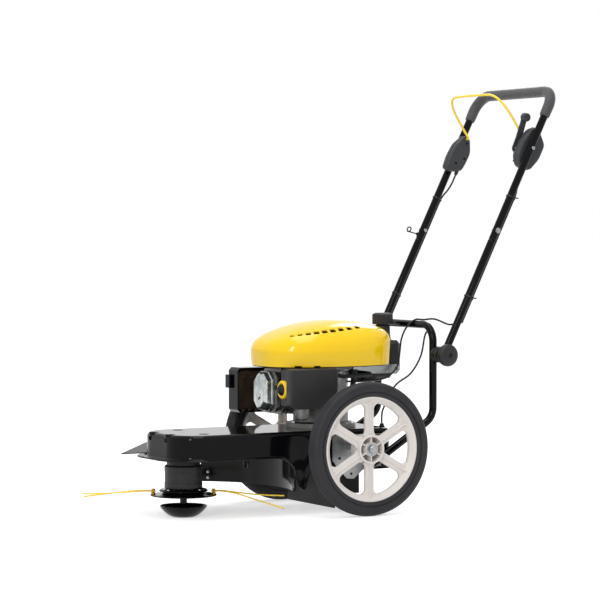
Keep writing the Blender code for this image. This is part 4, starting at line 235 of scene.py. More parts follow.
sweep = bpy.data.materials.new("sweep_floor")
sweep.use_nodes = True
ground = Tree(sweep.node_tree)
paper = ground.tree.nodes["Principled BSDF"]
paper.inputs["Base Color"].default_value = (0.86, 0.86, 0.86, 1)
paper.inputs["Roughness"].default_value = 1.0
paper.inputs["Specular IOR Level"].default_value = 0.0
paper.inputs["Emission Color"].default_value = (1, 1, 1, 1)
ground.plug(seen_share(ground) * FLOOR_GLOW, paper.inputs["Emission Strength"])
angle = np.linspace(0, 2 * np.pi, FLOOR_SIDES, endpoint=False)
disc = np.stack([np.cos(angle), np.sin(angle), np.zeros(FLOOR_SIDES)], 1) * FLOOR_R
floor_mesh = bpy.data.meshes.new("floor")
floor_mesh.from_pydata(disc.tolist(), [], [list(range(FLOOR_SIDES))])
floor_mesh.materials.append(sweep)
floor = bpy.data.objects.new("floor", floor_mesh)
bpy.context.scene.collection.objects.link(floor)
print("floor:", FLOOR_R, "m, world level:", LEVEL)

# %% [markdown]
# Three soft boxes light the machine. The wide one overhead draws the streaks along the tubes
# and the crown of the shroud, a narrow upright strip beside the camera is the key, and the
# one behind gives the far edges their rim of light.

# %% Lamps
def lamp(name, at, aim, size, power):
    """A rectangular soft box at a place, turned to a point; the power is in watts."""
    light = bpy.data.lights.new(name, "AREA")
    light.shape, light.size, light.size_y, light.energy = "RECTANGLE", *size, power
    obj = bpy.data.objects.new(name, light)
    obj.location = at
    obj.rotation_euler = (Vector(aim) - Vector(at)).to_track_quat("-Z", "Y").to_euler()
    bpy.context.scene.collection.objects.link(obj)


lamp("overhead", (0.3, -0.2, 3.2), (0, -0.1, 0.4), (1.2, 3.4), 38)
lamp("key", (3.4, -3.6, 2.6), (0, -0.1, 0.4), (0.5, 2.6), 62)
lamp("rim", (-2.2, 2.0, 2.2), (0, 0, 0.5), (0.7, 1.8), 24)

# %% [markdown]
# ## Painted and plated metal
#
# Powder coat is a plastic skin baked on steel: deep black, glossy, with the faint orange peel
# of a coat that flowed. Dust settles low down, so the colour and gloss change with height.

# %% Powder coat and zinc
def powder_coat():
    """Black and glossy; the dust ends a third of a metre above the ground."""
    coat = Finish("gloss_black_coat", IOR=1.5, Specular_IOR_Level=0.14)
    dust = coat.noise(9, 4) * (0.30 - coat.z).above(0.12, 0.3)
    return coat.made(dust * 0.4, (6, 6, 9), (26, 26, 27),
                     dust * 0.14 + coat.noise(60, 3) * 0.04 + 0.02, coat.noise(260, 1), 0.000004)


def zinc_plate():
    """Bright zinc: a blue-grey metal whose crystals and water marks make soft clouds."""
    zinc = Finish("bright_zinc", Metallic=1.0)
    cloud = zinc.noise(38, 4)
    return zinc.made(cloud, (122, 126, 130), (182, 184, 183),
                     cloud * 0.22 + zinc.noise(300, 2) * 0.12 + 0.14, zinc.noise(700, 2), 0.00006)


def bright_steel():
    """Turned steel, with the fine rings that the tool left."""
    steel = Finish("turned_steel", Metallic=1.0)
    rings = steel.noise(260, 2, (0.08, 0.08, 1))
    return steel.made(rings, (178, 178, 180), (222, 221, 218), rings * 0.25 + 0.12, rings, 0.00004)


def dull_steel():
    """The silencer's sheet steel, browned in patches by its heat."""
    sheet = Finish("silencer_steel", Metallic=0.8)
    heat = sheet.noise(26, 5)
    return sheet.made(heat, (48, 44, 42), (104, 84, 66), heat * 0.3 + 0.38,
                      sheet.noise(240, 4), 0.0002)


BLACK, ZINC, STEEL, HOT = powder_coat(), zinc_plate(), bright_steel(), dull_steel()
print("metals:", BLACK.name, ZINC.name, STEEL.name, HOT.name)

# %% [markdown]
# Cast aluminium is pebbled all over by the mould's sand and only shines where it was
# machined. The valve cover is tumbled until it is nearly bright; its dark and bright clouds
# are painted reflections. Brass keeps a warm stain.

# %% Castings and brass
def casting(name, dark, light, rough, pebble):
    """Metal between two greys in clouds, which on the valve cover are painted reflections; the
    relief adds grains and a slower swell.
    """
    cast = Finish(name, Metallic=0.9)
    cloud = cast.noise(45, 5)
    return cast.made(cloud, dark, light, cloud * 0.2 + rough,
                     cast.cells(520) + cast.noise(150, 3) * 0.6, pebble)


ALLOY = casting("sand_cast_alloy", (98, 98, 98), (150, 149, 146), 0.34, 0.00028)
# the valve cover's clouds, from dark grey to near white, are painted reflections and highlights
COVER_PAINTED_REFLECTIONS = casting("tumbled_alloy", (84, 92, 94), (228, 234, 232), 0.10, 0.00012)
BRASS = casting("brass", (148, 104, 40), (206, 160, 74), 0.16, 0.00004)
print("castings:", ALLOY.name, COVER_PAINTED_REFLECTIONS.name, BRASS.name)

# %% [markdown]
# ## Plastics, rubber and foam
#
# The shroud is dyed through and polished in the mould: yellow, glossy, with slow clouds of a
# deeper tone. The dark mouldings' mould is spark-eroded, which leaves a fine grain on them.

# %% Yellow mouldings and grained mouldings
def yellow_gloss(name, deep, bright, rough, dust_scale=420):
    """A glossy moulding; specks of dust, dust_scale to a metre, dull it here and there."""
    gloss = Finish(name, IOR=1.52, Specular_IOR_Level=0.36)
    cloud = gloss.noise(7, 3)
    dust = gloss.noise(dust_scale, 2).above(0.72, 0.1)
    return gloss.made(cloud * 0.6 + dust * 0.2, bright, deep,
                      gloss.noise(35, 4) * 0.08 + dust * 0.12 + rough, gloss.noise(45, 1), 0.00005)


def grained(name, dark, light, rough, grain=0.00009, cells=1500):
    """A matt moulding: packed pits for the grain, with slight scuffs where hands go."""
    matt = Finish(name, IOR=1.48, Specular_IOR_Level=0.35)
    cloud, scuff = matt.noise(30, 5), matt.noise(210, 4, (1, 1, 0.2)).above(0.66, 0.06)
    return matt.made(cloud * 0.8 + scuff * 0.25, dark, light, cloud * 0.16 + rough - scuff * 0.1,
                     matt.cells(cells) + matt.noise(260, 2) * 0.3, grain)


YELLOW = yellow_gloss("yellow_moulding", (252, 196, 2), (255, 216, 12), 0.10)
BAIL_COAT = yellow_gloss("bail_coat", (250, 208, 30), (255, 228, 56), 0.30, 1600)
DARK = grained("dark_moulding", (24, 24, 26), (44, 43, 45), 0.40)
HOUSING = grained("spindle_moulding", (20, 20, 23), (38, 37, 40), 0.36)
GREY = grained("control_moulding", (40, 42, 46), (66, 68, 72), 0.38)
WHEEL = grained("wheel_moulding", (220, 214, 209), (238, 232, 228), 0.36, 0.00005, 900)
print("mouldings:", YELLOW.name, DARK.name, GREY.name, WHEEL.name)

# %% [markdown]
# Rubber is the roughest of the blacks, and the tyres are the greyest, because they bloomed in
# storage. Foam is a skin over cells: pores less than a millimetre apart break its highlight.

# %% Rubber, foam and nylon
def rubber(name, dark, light, rough):
    """Between two blacks in clouds, rougher where it is lighter."""
    tread = Finish(name, IOR=1.45, Specular_IOR_Level=0.3)
    bloom = tread.noise(22, 5)
    return tread.made(bloom, dark, light, bloom * 0.15 + rough,
                      tread.noise(900, 3) + tread.noise(80, 2) * 0.6, 0.00012)


def closed_foam():
    """Grey pores and patches, with a little sheen at the edge."""
    foam = Finish("closed_foam", IOR=1.4, Specular_IOR_Level=0.3, Sheen_Weight=0.15)
    pores, patch = foam.cells(1300), foam.noise(60, 4)
    return foam.made(pores * 0.7 + patch * 0.4, (54, 54, 57), (88, 88, 91), patch * 0.14 + 0.42,
                     pores + patch * 0.8, 0.00016)


def drawn_nylon():
    """Monofilament: translucent, with faint clouds in its colour, gloss and relief."""
    nylon = Finish("drawn_nylon", IOR=1.53, Subsurface_Weight=0.25, Subsurface_Scale=0.002)
    cloud = nylon.noise(160, 3)
    return nylon.made(cloud, (250, 200, 24), (255, 226, 66), cloud * 0.2 + 0.26, cloud, 0.00003)


TYRE = rubber("tyre_moulded", (30, 30, 33), (50, 49, 53), 0.44)
RUBBER = rubber("moulded_rubber", (12, 12, 14), (28, 28, 30), 0.42)
CABLE = rubber("cable_jacket", (10, 10, 12), (22, 22, 24), 0.24)
FOAM, NYLON = closed_foam(), drawn_nylon()
print("soft finishes:", TYRE.name, RUBBER.name, FOAM.name, NYLON.name)

# %% [markdown]
# ## Surfaces from numpy
#
# Nearly every round piece is a grid: rows of points, worked out as whole arrays, and quads
# between neighbouring rows and columns. Rows that shrink to a point close an end; welding
# then joins the poles and seams, and the faces are turned outwards. `marked` hides the
# solids that a piece takes the place of.

# %% From arrays to a piece
FROM_AXLE = np.array((0, -0.047, 0))      # the pieces are worked out with the axle at Y = 0
LEFT, UP = np.array((1.0, 0, 0)), np.array((0, 0, 1.0))
SIDES = (("left", 1), ("right", -1))      # name, and sign of X


def quads(rows, columns, loop_rows=False, loop_columns=False):
    """Corner numbers of the quads between neighbours of a grid, which may close on itself."""
    row, column = np.meshgrid(np.arange(rows - (not loop_rows)),
                              np.arange(columns - (not loop_columns)), indexing="ij")
    below, beside = (row + 1) % rows, (column + 1) % columns
    return np.stack([row * columns + column, row * columns + beside,
                     below * columns + beside, below * columns + column], -1).reshape(-1, 4)


def piece(name, points, faces, finish, body, sharp=40.0, extra=()):
    """Puts points and quads into a mesh, welds it, and hangs it on its body."""
    mesh = bpy.data.meshes.new(name)
    points = (np.asarray(points).reshape(-1, 3) + FROM_AXLE).astype(np.float32)
    if len(extra):
        mesh.from_pydata(points.tolist(), [], faces.tolist() + [list(f) for f in extra])
    else:
        mesh.vertices.add(len(points))
        mesh.vertices.foreach_set("co", points.ravel())
        mesh.loops.add(faces.size)
        mesh.loops.foreach_set("vertex_index", faces.ravel().astype(np.int32))
        mesh.polygons.add(len(faces))
        mesh.polygons.foreach_set("loop_start", np.arange(0, faces.size, 4, dtype=np.int32))
        mesh.update(calc_edges=True)
    return finished(name, mesh, finish, body, sharp)


def finished(name, mesh, finish, body, sharp=40.0, recalculate=True):
    """Welds a mesh, turns its faces outwards, shades it and makes it a piece of a body."""
    form = bmesh.new()
    form.from_mesh(mesh)
    bmesh.ops.remove_doubles(form, verts=form.verts, dist=0.000002)
    bmesh.ops.dissolve_degenerate(form, edges=form.edges, dist=0.000001)
    if recalculate:
        bmesh.ops.recalc_face_normals(form, faces=form.faces)
    form.to_mesh(mesh)
    form.free()
    mesh.shade_smooth()
    mesh.set_sharp_from_angle(angle=np.radians(sharp))
    mesh.materials.append(finish)
    mesh.update()
    obj = bpy.data.objects.new(name, mesh)
    bpy.context.scene.collection.objects.link(obj)
    if body:
        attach(obj, body)
    return obj


def marked(obj, slot, *nodes):
    """Hides the solids that are named, whose place the piece takes; the slot is not used."""
    if nodes:
        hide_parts(*nodes)
    return obj


def unit(vectors):
    return vectors / np.linalg.norm(vectors, axis=-1, keepdims=True)


def across(axis):
    """Two directions square to an axis and to each other."""
    axis = unit(np.asarray(axis, float))
    helper = np.array((0, 0, 1.0)) if abs(axis[2]) < 0.9 else np.array((1.0, 0, 0))
    first = unit(np.cross(helper, axis))
    return axis, first, np.cross(axis, first)


# %% [markdown]
# A turned piece is a profile of radius and height, spun about an axis. Real edges are never
# sharp, so `eased` swaps each corner for a small curve before the profile is spun.

# %% Turned pieces
def eased(profile, radius=0.0008, count=4, loop=False):
    """Each corner becomes a parabola between points one radius along its two edges."""
    profile = np.asarray(profile, float)
    corner = profile if loop else profile[1:-1]
    before = np.roll(profile, 1, 0) if loop else profile[:-2]
    after = np.roll(profile, -1, 0) if loop else profile[2:]
    reach = np.minimum(np.linalg.norm(before - corner, axis=1),
                       np.linalg.norm(after - corner, axis=1))
    reach = np.minimum(radius, 0.42 * reach)[:, None]
    start = corner + unit(before - corner) * reach
    end = corner + unit(after - corner) * reach
    t = np.linspace(0, 1, count)[:, None, None]
    curve = (1 - t) ** 2 * start + 2 * t * (1 - t) * corner + t ** 2 * end
    curve = curve.transpose(1, 0, 2).reshape(-1, profile.shape[1])
    return curve if loop else np.vstack([profile[:1], curve, profile[-1:]])


def turned(name, profile, centre, axis, finish, body, steps=72, loop=False, ease=0.0008,
           ripple=None):
    """Point = centre + radius (cos a, sin a) + height along the axis.
    ripple(radius, height, angle) may change both as the angle turns."""
    profile = eased(profile, ease, loop=loop) if ease else np.asarray(profile, float)
    axis, first, second = across(axis)
    angle = np.arange(steps) * 2 * np.pi / steps
    radius = np.repeat(profile[:, :1], steps, 1)
    height = np.repeat(profile[:, 1:], steps, 1)
    if ripple:
        radius, height = ripple(radius, height, angle[None, :])
    points = (np.asarray(centre, float) + height[..., None] * axis
              + radius[..., None] * (np.cos(angle)[:, None] * first
                                     + np.sin(angle)[:, None] * second))
    return piece(name, points, quads(len(profile), steps, loop, True), finish, body)


# %% [markdown]
# Tubes, rods and cables carry a circle along a path. One fixed direction, never parallel to
# the path, keeps the circles from twisting.

# %% Paths and tubes
def rounded_path(points, radii, count=14):
    """Straight runs whose corners are arcs: each is a turn of the two tangent points
    about a centre that lies on the corner's bisector."""
    points = np.asarray(points, float)
    route = [points[:1]]
    for before, corner, after, radius in zip(points, points[1:], points[2:], radii):
        a, b = unit(before - corner), unit(after - corner)
        half = np.arccos(np.clip(a @ b, -1, 1)) / 2
        centre = corner + unit(a + b) * radius / np.sin(half)
        first = corner + a * radius / np.tan(half) - centre
        last = corner + b * radius / np.tan(half) - centre
        sweep = np.pi - 2 * half
        t = np.linspace(0, 1, count)[:, None]
        route.append(centre + (first * np.sin((1 - t) * sweep) + last * np.sin(t * sweep))
                     / np.sin(sweep))
    return np.vstack(route + [points[-1:]])


def flowing(points, count=8):
    """A smooth curve through given points: Catmull and Rom's cubic between each pair."""
    p = np.asarray(points, float)
    p = np.vstack([2 * p[0] - p[1], p, 2 * p[-1] - p[-2]])
    t = (np.arange(count) / count)[:, None, None]
    a, b, c, d = p[:-3], p[1:-2], p[2:-1], p[3:]
    curve = 0.5 * (2 * b + (c - a) * t + (2 * a - 5 * b + 4 * c - d) * t ** 2
                   + (3 * b - a - 3 * c + d) * t ** 3)
    return np.vstack([curve.transpose(1, 0, 2).reshape(-1, 3), p[-2:-1]])


def evenly(path, spacing):
    """The same path with its points a steady distance apart."""
    along = np.concatenate([[0], np.cumsum(np.linalg.norm(np.diff(path, axis=0), axis=1))])
    at = np.linspace(0, along[-1], max(3, int(along[-1] / spacing) + 1))
    return np.stack([np.interp(at, along, path[:, k]) for k in range(3)], 1)


def length_of(path):
    return float(np.linalg.norm(np.diff(path, axis=0), axis=1).sum())


def never_along(tangent):
    """Of a few directions, the one that the path keeps furthest from."""
    choice = unit(np.array([(1, 0, 0), (0, 1, 0), (0, 0, 1), (1, -1, 0.8), (0.7, 1, -0.6),
                            (0, -0.893, 0.449), (-1, 0.4, 0.9)]))
    clear = np.linalg.norm(np.cross(tangent[:, None], choice[None]), axis=2).min(0)
    return choice[clear.argmax()]


def tube(name, path, radius, finish, body, sides=20, swell=None):
    """Point = path + radius (cos a, sin a) in the plane square to the path.
    swell(along, whole) may scale the radius on the way; the ends close with a small ease."""
    path = np.asarray(path, float)
    tangent = unit(np.gradient(path, axis=0))
    side = unit(np.cross(tangent, never_along(tangent)))
    other = np.cross(side, tangent)
    along = np.concatenate([[0], np.cumsum(np.linalg.norm(np.diff(path, axis=0), axis=1))])
    scale = radius * (np.ones(len(path)) if swell is None else swell(along, along[-1]))
    step = np.minimum(0.14 * scale, 0.3 * along[1])
    order = np.r_[0, 0, np.arange(len(path)), len(path) - 1, len(path) - 1]
    scale = np.concatenate([[0, scale[0] * 0.86], scale, [scale[-1] * 0.86, 0]])
    shift = np.zeros(len(order))
    shift[2], shift[-3] = step[0], -step[-1]
    angle = np.arange(sides) * 2 * np.pi / sides
    ring = (np.cos(angle)[:, None] * side[order][:, None]
            + np.sin(angle)[:, None] * other[order][:, None])
    centre = (path[order] + tangent[order] * shift[:, None])[:, None]
    points = centre + ring * scale[:, None, None]
    return piece(name, points, quads(len(order), sides, False, True), finish, body, 50)


# %% [markdown]
# A flat piece is an outline with a thickness. Its edge is rolled over by moving the outline
# inwards along its own normals as the edge turns from side to face. A flat ring inside the
# roll keeps the shading of the face free of the edge's.

# %% Slabs
def slab(name, outline, thickness, origin, along, beside, finish, body, edge=0.001, turns=4):
    """Outline (a, b) lies at origin + a along + b beside; the edge is a quarter circle.
    A point moves inwards by (m + n) / (1 + m.n), m and n being its two edges' normals."""
    outline = np.asarray(outline, float)
    after = unit(np.roll(outline, -1, 0) - outline)
    (a, b), (next_a, next_b) = outline.T, np.roll(outline, -1, 0).T
    n = np.stack([-after[:, 1], after[:, 0]], 1) * np.sign(np.sum(a * next_b - b * next_a))
    m = np.roll(n, 1, 0)
    inward = (m + n) / np.maximum(1 + np.sum(m * n, 1), 0.4)[:, None]
    turn = np.linspace(0, np.pi / 2, turns)
    inset = np.r_[edge * 1.15, edge * (1 - np.sin(turn))]       # one flat ring before the roll
    lift = np.r_[thickness / 2, thickness / 2 - edge * (1 - np.cos(turn))]
    inset, lift = np.concatenate([inset, inset[::-1]]), np.concatenate([lift, -lift[::-1]])
    flat = outline[None] + inward[None] * inset[:, None, None]
    along, beside = np.asarray(along, float), np.asarray(beside, float)
    points = (np.asarray(origin, float) + flat[..., :1] * along + flat[..., 1:] * beside
              + lift[:, None, None] * np.cross(along, beside))
    rings, count = len(lift), len(outline)
    caps = [range(count), range((rings - 1) * count, rings * count)]
    return piece(name, points, quads(rings, count, False, True), finish, body, 40, caps)


def round_outline(points, radius, count=6):
    """A closed outline with its corners eased."""
    return eased(points, radius, count, loop=True)


def disc_outline(radius, count, at):
    """A circle about a point, as an outline."""
    a = np.arange(count) * 2 * np.pi / count
    return np.stack([at[0] + radius * np.cos(a), at[1] + radius * np.sin(a)], 1)


# %% [markdown]
# Where the solid is already right, a copy of it is enough: welded, its flat faces made whole
# again, and its edges rounded by a Bevel so that they catch the light. A patch is a second
# finish for the faces in a given region, such as a bolt that is one solid with its carrier.

# %% Copies of the solids
def dressed(node, finish, body, bevel, patches):
    """A soft-edged copy that takes the solid's place; a patch is a region and its finish."""
    form = bmesh.new()
    form.from_mesh(frame["nodes"][node].data)
    bmesh.ops.remove_doubles(form, verts=form.verts, dist=0.00001)
    bmesh.ops.dissolve_limit(form, angle_limit=np.radians(1.0), verts=form.verts, edges=form.edges)
    mesh = bpy.data.meshes.new(node + "_dressed")
    form.to_mesh(mesh)
    form.free()
    mesh.materials.clear()
    obj = finished(node + "_dressed", mesh, finish, body, 35, recalculate=False)
    centre = np.zeros(len(mesh.polygons) * 3, np.float32)
    mesh.polygons.foreach_get("center", centre)
    centre = centre.reshape(-1, 3)
    number = np.zeros(len(mesh.polygons), np.int32)
    for k, (region, other) in enumerate(patches, 1):
        mesh.materials.append(other)
        number[region(*centre.T)] = k
    mesh.polygons.foreach_set("material_index", number)
    soft = obj.modifiers.new("soft_edges", "BEVEL")
    soft.width, soft.segments, soft.limit_method = bevel, 2, "ANGLE"
    soft.angle_limit = np.radians(30)
    soft.use_clamp_overlap = True
    soft.harden_normals = True
    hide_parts(node)


# %% [markdown]
# ## The cutting line
#
# A length of 3.9 mm nylon is looped round each of two posts on the disc, and both its ends
# trail out. Nylon this thick is stiff: it keeps the slight curve of its spool and droops only
# a little. Each half is a cord from its post; the turn round the post is a piece of its own.

# %% Line from the post outwards
HEAD_Y = -0.430
POST_REACH, POST_R = 0.080, 0.006
LINE_D, LINE_REACH, LINE_Z = 0.0039, 0.266, 0.0675
WRAP = POST_R * 0.5 + LINE_D / 2 + 0.0006


def line_halves(name, angle, near_droop, far_droop):
    """Both ends of one line and its turn; the angle is from straight back, to the left."""
    turn = np.radians(angle)
    out = np.array((np.sin(turn), np.cos(turn), 0))
    side = np.array((out[1], -out[0], 0))
    post = np.array((0, HEAD_Y, 0)) + out * POST_REACH
    reach = LINE_REACH - POST_REACH

    def at(share, beside, height):
        return post + out * reach * share + side * beside + UP * (LINE_Z + height)

    first = [at(0.0, WRAP, 0), at(0.12, WRAP + 0.001, 0.0005),
             at(0.33, 0.013, far_droop * 0.15 + 0.001), at(0.66, 0.020, far_droop * 0.55),
             at(1.0, 0.020, far_droop)]
    second = [at(0.0, -WRAP, 0), at(0.12, -WRAP - 0.001, 0.0005),
              at(0.33, -0.010, near_droop * 0.4 + 0.001), at(0.66, -0.012, near_droop * 0.8),
              at(1.0, -0.014, near_droop)]
    halves = []
    for label, points in (("outer", first), ("inner", second)):
        path = evenly(flowing(points), 0.004)
        half = tube(f"{name}_{label}", path, LINE_D / 2, NYLON, "line_head", 12)
        marked(half, "line_nylon", *(["trimmer_" + name] if label == "outer" else []))
        halves.append(half)
    t = np.linspace(0, np.pi, 17)[:, None]
    half_turn = post + side * WRAP * np.cos(t) - out * WRAP * np.sin(t) + UP * LINE_Z
    marked(tube(f"{name}_turn", half_turn, LINE_D / 2, NYLON, "line_head", 12), "line_nylon")
    return halves


for name, angle, near_droop, far_droop in (("line_rear", 29.5, -0.014, -0.044),
                                           ("line_front", 209.5, -0.006, -0.017)):
    print(name, [half.name for half in line_halves(name, angle, near_droop, far_droop)])

# %% [markdown]
# ## Wheels
#
# The tyre is moulded rubber: a low crown with fine ribs run round it, a shoulder, a smooth
# sidewall with a groove, and a bead that sits on the rim. A profile of it is spun once.

# %% Tyres
AXLE_Z, WHEEL_MID = 0.178, 0.2346
TYRE_R, BEAD_R, TREAD_HALF = 0.178, 0.1393, 0.0145
RIBS, RIB_DEPTH, CROWN_DROP = 7, 0.0022, 0.0026


def tyre_profile():
    """From bead to bead: sidewall, groove, shoulder, then a tread whose height goes
    up and down RIBS times: the grooves between the ribs are (0.5 - 0.5 cos)^2."""
    crown = np.linspace(-1, 1, RIBS * 8 + 1)
    groove = (0.5 - 0.5 * np.cos(np.pi * RIBS * (crown + 1))) ** 2
    tread = TYRE_R - CROWN_DROP * crown ** 2 - RIB_DEPTH * groove
    side = np.array([(BEAD_R, 0.0160), (BEAD_R + 0.0030, 0.0186), (0.1470, 0.0196),
                     (0.1492, 0.0194), (0.1500, 0.0176), (0.1518, 0.0176), (0.1528, 0.0203),
                     (0.1560, 0.0210), (0.1660, 0.0210), (0.1700, 0.0200), (0.1715, 0.0186),
                     (0.1740, 0.0168), (0.1752, 0.0150)])
    other = side[::-1] * (1, -1)
    return np.vstack([side, np.stack([tread, -crown * TREAD_HALF], 1), other])


for side, way in SIDES:
    tyre = turned(f"tyre_{side}_moulded", tyre_profile(), (way * WHEEL_MID, 0, AXLE_Z), LEFT,
                  TYRE, "wheel_" + side, 160, loop=True, ease=0.0)
    marked(tyre, "tyre_rubber", "tyre_" + side)
    print(tyre.name, len(tyre.data.vertices), "points")

# %% [markdown]
# The rim is one moulding: a ring with a trough under the tyre, six flat spokes that flare
# into the ring and the hub, a rib up the middle of each, and a hub with open pockets.

# %% Rims
RIM_R, RIM_HALF, SPOKE_HALF, SPOKE_T = 0.139, 0.017, 0.013, 0.010
RING_IN, HUB_R, HUB_HALF, BOSS_R, BORE_R = 0.1190, 0.038, 0.023, 0.0185, 0.00725
HUB_MID, FILLET, HUB_FILLET, SPOKES = 0.2281, 0.014, 0.006, 6


def spoke_outline():
    """Half width w(r) = side + fillet (1 - sqrt(1 - t^2)), t rising from 0 to 1 at each end.
    What lies inside the ring and the hub stays straight."""
    low, high = HUB_R + 0.001, RING_IN
    r = np.r_[low - 0.004, np.linspace(low, high, 56), high + 0.004]
    t = np.maximum((r - (high - FILLET)) / FILLET, ((low + 0.010) - r) / 0.010).clip(0, 0.98)
    wide = SPOKE_HALF + np.where(r > 0.08, FILLET, HUB_FILLET) * (1 - np.sqrt(1 - t ** 2))
    return np.vstack([np.stack([r, wide], 1), np.stack([r, -wide], 1)[::-1]])


def rim(side, way):
    """All the pieces of one rim. The ring is the one that takes the solid's place."""
    body, hub = "wheel_" + side, (way * HUB_MID, 0, AXLE_Z)
    middle = np.array((way * WHEEL_MID, 0, AXLE_Z))
    ring = [(RIM_R, RIM_HALF), (RIM_R, 0.0125), (0.1355, 0.0105), (0.1355, -0.0105),
            (RIM_R, -0.0125), (RIM_R, -RIM_HALF), (0.1350, -RIM_HALF), (0.1335, -0.0155),
            (RING_IN + 0.004, -0.0055), (RING_IN + 0.003, 0), (RING_IN + 0.004, 0.0055),
            (0.1335, 0.0155), (0.1350, RIM_HALF)]
    parts = [turned(f"rim_{side}_ring", ring, middle, LEFT, WHEEL, body, 160, loop=True)]
    for label, outer, inner, steps in (("ring", HUB_R, HUB_R - 0.005, 72),
                                       ("boss", BOSS_R, BORE_R, 48)):
        shell = [(outer, HUB_HALF), (outer, -HUB_HALF), (inner, -HUB_HALF), (inner, HUB_HALF)]
        parts.append(turned(f"hub_{side}_{label}", shell, hub, LEFT, WHEEL, body, steps, loop=True))
    for k in range(SPOKES):
        turn = 2 * np.pi * k / SPOKES
        out = np.array((0, -np.sin(turn), np.cos(turn)))
        beside = np.array((0, -np.cos(turn), -np.sin(turn)))
        parts.append(slab(f"spoke_{side}_{k}", spoke_outline(), SPOKE_T, middle, out, beside,
                          WHEEL, body, 0.0016))
        low, high = HUB_R - 0.001, RING_IN + 0.008
        rib = round_outline([(low, -0.009), (high - 0.012, -0.009), (high, -0.0125),
                             (high, 0.0125), (high - 0.012, 0.009), (low, 0.009)], 0.002)
        parts.append(slab(f"spoke_{side}_{k}_rib", rib, 0.0046, middle, out, LEFT,
                          WHEEL, body, 0.0012))
        web = round_outline([(BOSS_R - 0.001, -0.021), (HUB_R - 0.0045, -0.021),
                             (HUB_R - 0.0045, 0.021), (BOSS_R - 0.001, 0.021)], 0.001)
        parts.append(slab(f"pocket_{side}_{k}", web, 0.0028, hub, out, LEFT, WHEEL, body, 0.0006))
    marked(parts[0], "wheel_plastic", "rim_" + side)
    for part in parts[1:]:
        marked(part, "wheel_plastic")
    return parts


print("rim pieces:", [len(rim(side, way)) for side, way in SIDES])

# %% [markdown]
# ## The deck
#
# One pressed sheet: a rolled flange in front, a wall, a rounded shoulder and a flat top. In
# plan its outline is a row of straight runs and arcs; in section it is a short profile. The
# surface is every outline point moved outwards along its own normal, for each profile point.

# %% The deck's measures and flange
TOP, FLANGE_Z, SKIRT_Z, LIP_Z, LIP_Y, LIP_HALF = 0.2225, 0.158, 0.1125, 0.0645, -0.143, 0.012
HALF, DECK_FRONT, DECK_REAR, CORNER, HEEL, FLANGE_W = 0.130, 0.505, 0.140, 0.085, 0.030, 0.027
SHEET = 0.0025


def eased_over(y, rule, reach=0.009):
    """The mean of a rule over a few millimetres to each side, so that no kink is left."""
    return rule(np.asarray(y)[:, None] + np.linspace(-reach, reach, 13)).mean(1)


def flange_height(y):
    """Level in front, down in a tongue before the wheel, and level again behind it."""
    knots = LIP_Y - LIP_HALF + np.array((-0.075, -0.048, -0.022, -0.006, 0, LIP_HALF,
                                         2 * LIP_HALF, 2 * LIP_HALF + 0.003))
    heights = (FLANGE_Z, FLANGE_Z - 0.004, FLANGE_Z - 0.018, FLANGE_Z - 0.040, LIP_Z + 0.014,
               LIP_Z, LIP_Z + 0.014, SKIRT_Z)
    return eased_over(y, lambda at: np.interp(at, knots, heights))


def flange_left(y):
    """The share of the flange's width: all in front, less towards the tongue, none behind."""
    def share(at):
        front = np.clip((LIP_Y - 2 * LIP_HALF - at) / (5 * LIP_HALF), 0.3, 1.0)
        return np.where(at >= LIP_Y + LIP_HALF, 0.0, front)

    return eased_over(y, share, 0.004)


print("flange:", FLANGE_W, "m wide in front, lowest at", LIP_Z)

# %% [markdown]
# In plan the deck is straight in front, turns with a wide arc, runs straight back and turns
# with a tighter arc at the heel. The right half is the left one mirrored.

# %% Deck plan
def deck_plan():
    """Centres, normals and radii, so that a point is centre + normal (radius + out)."""
    nose = np.radians(np.linspace(-90, 0, 40))
    heel = np.radians(np.linspace(0, 90, 18))
    y = np.concatenate([np.linspace(-DECK_FRONT + CORNER, LIP_Y - 0.09, 60)[1:],
                        np.linspace(LIP_Y - 0.09, LIP_Y + 0.018, 60)[1:],
                        np.linspace(LIP_Y + 0.018, DECK_REAR - HEEL, 60)[1:-1]])
    x = np.linspace(0, HALF - CORNER, 24)[:-1]
    heel_x = np.linspace(HALF - HEEL, 0, 30)[1:]
    centre = np.vstack([np.stack([x, np.full(len(x), -DECK_FRONT)], 1),
                        np.tile((HALF - CORNER, -DECK_FRONT + CORNER), (len(nose), 1)),
                        np.stack([np.full(len(y), HALF), y], 1),
                        np.tile((HALF - HEEL, DECK_REAR - HEEL), (len(heel), 1)),
                        np.stack([heel_x, np.full(len(heel_x), DECK_REAR)], 1)])
    turn = np.concatenate([np.full(len(x), -np.pi / 2), nose, np.zeros(len(y)), heel,
                           np.full(len(heel_x), np.pi / 2)])
    radius = np.concatenate([np.zeros(len(x)), np.full(len(nose), CORNER), np.zeros(len(y)),
                             np.full(len(heel), HEEL), np.zeros(len(heel_x))])
    normal = np.stack([np.cos(turn), np.sin(turn)], 1)
    other = slice(-2, 0, -1)
    flip = np.array((-1, 1))
    return (np.vstack([centre, centre[other] * flip]), np.vstack([normal, normal[other] * flip]),
            np.concatenate([radius, radius[other]]))


print("deck outline:", len(deck_plan()[2]), "points")

# %% [markdown]
# The section begins under the rolled edge, crosses the flange, climbs the wall and turns in
# over the shoulder. The flat top closes it, and a Solidify gives the sheet its thickness.

# %% Deck pressing
SHOULDER = 0.0125


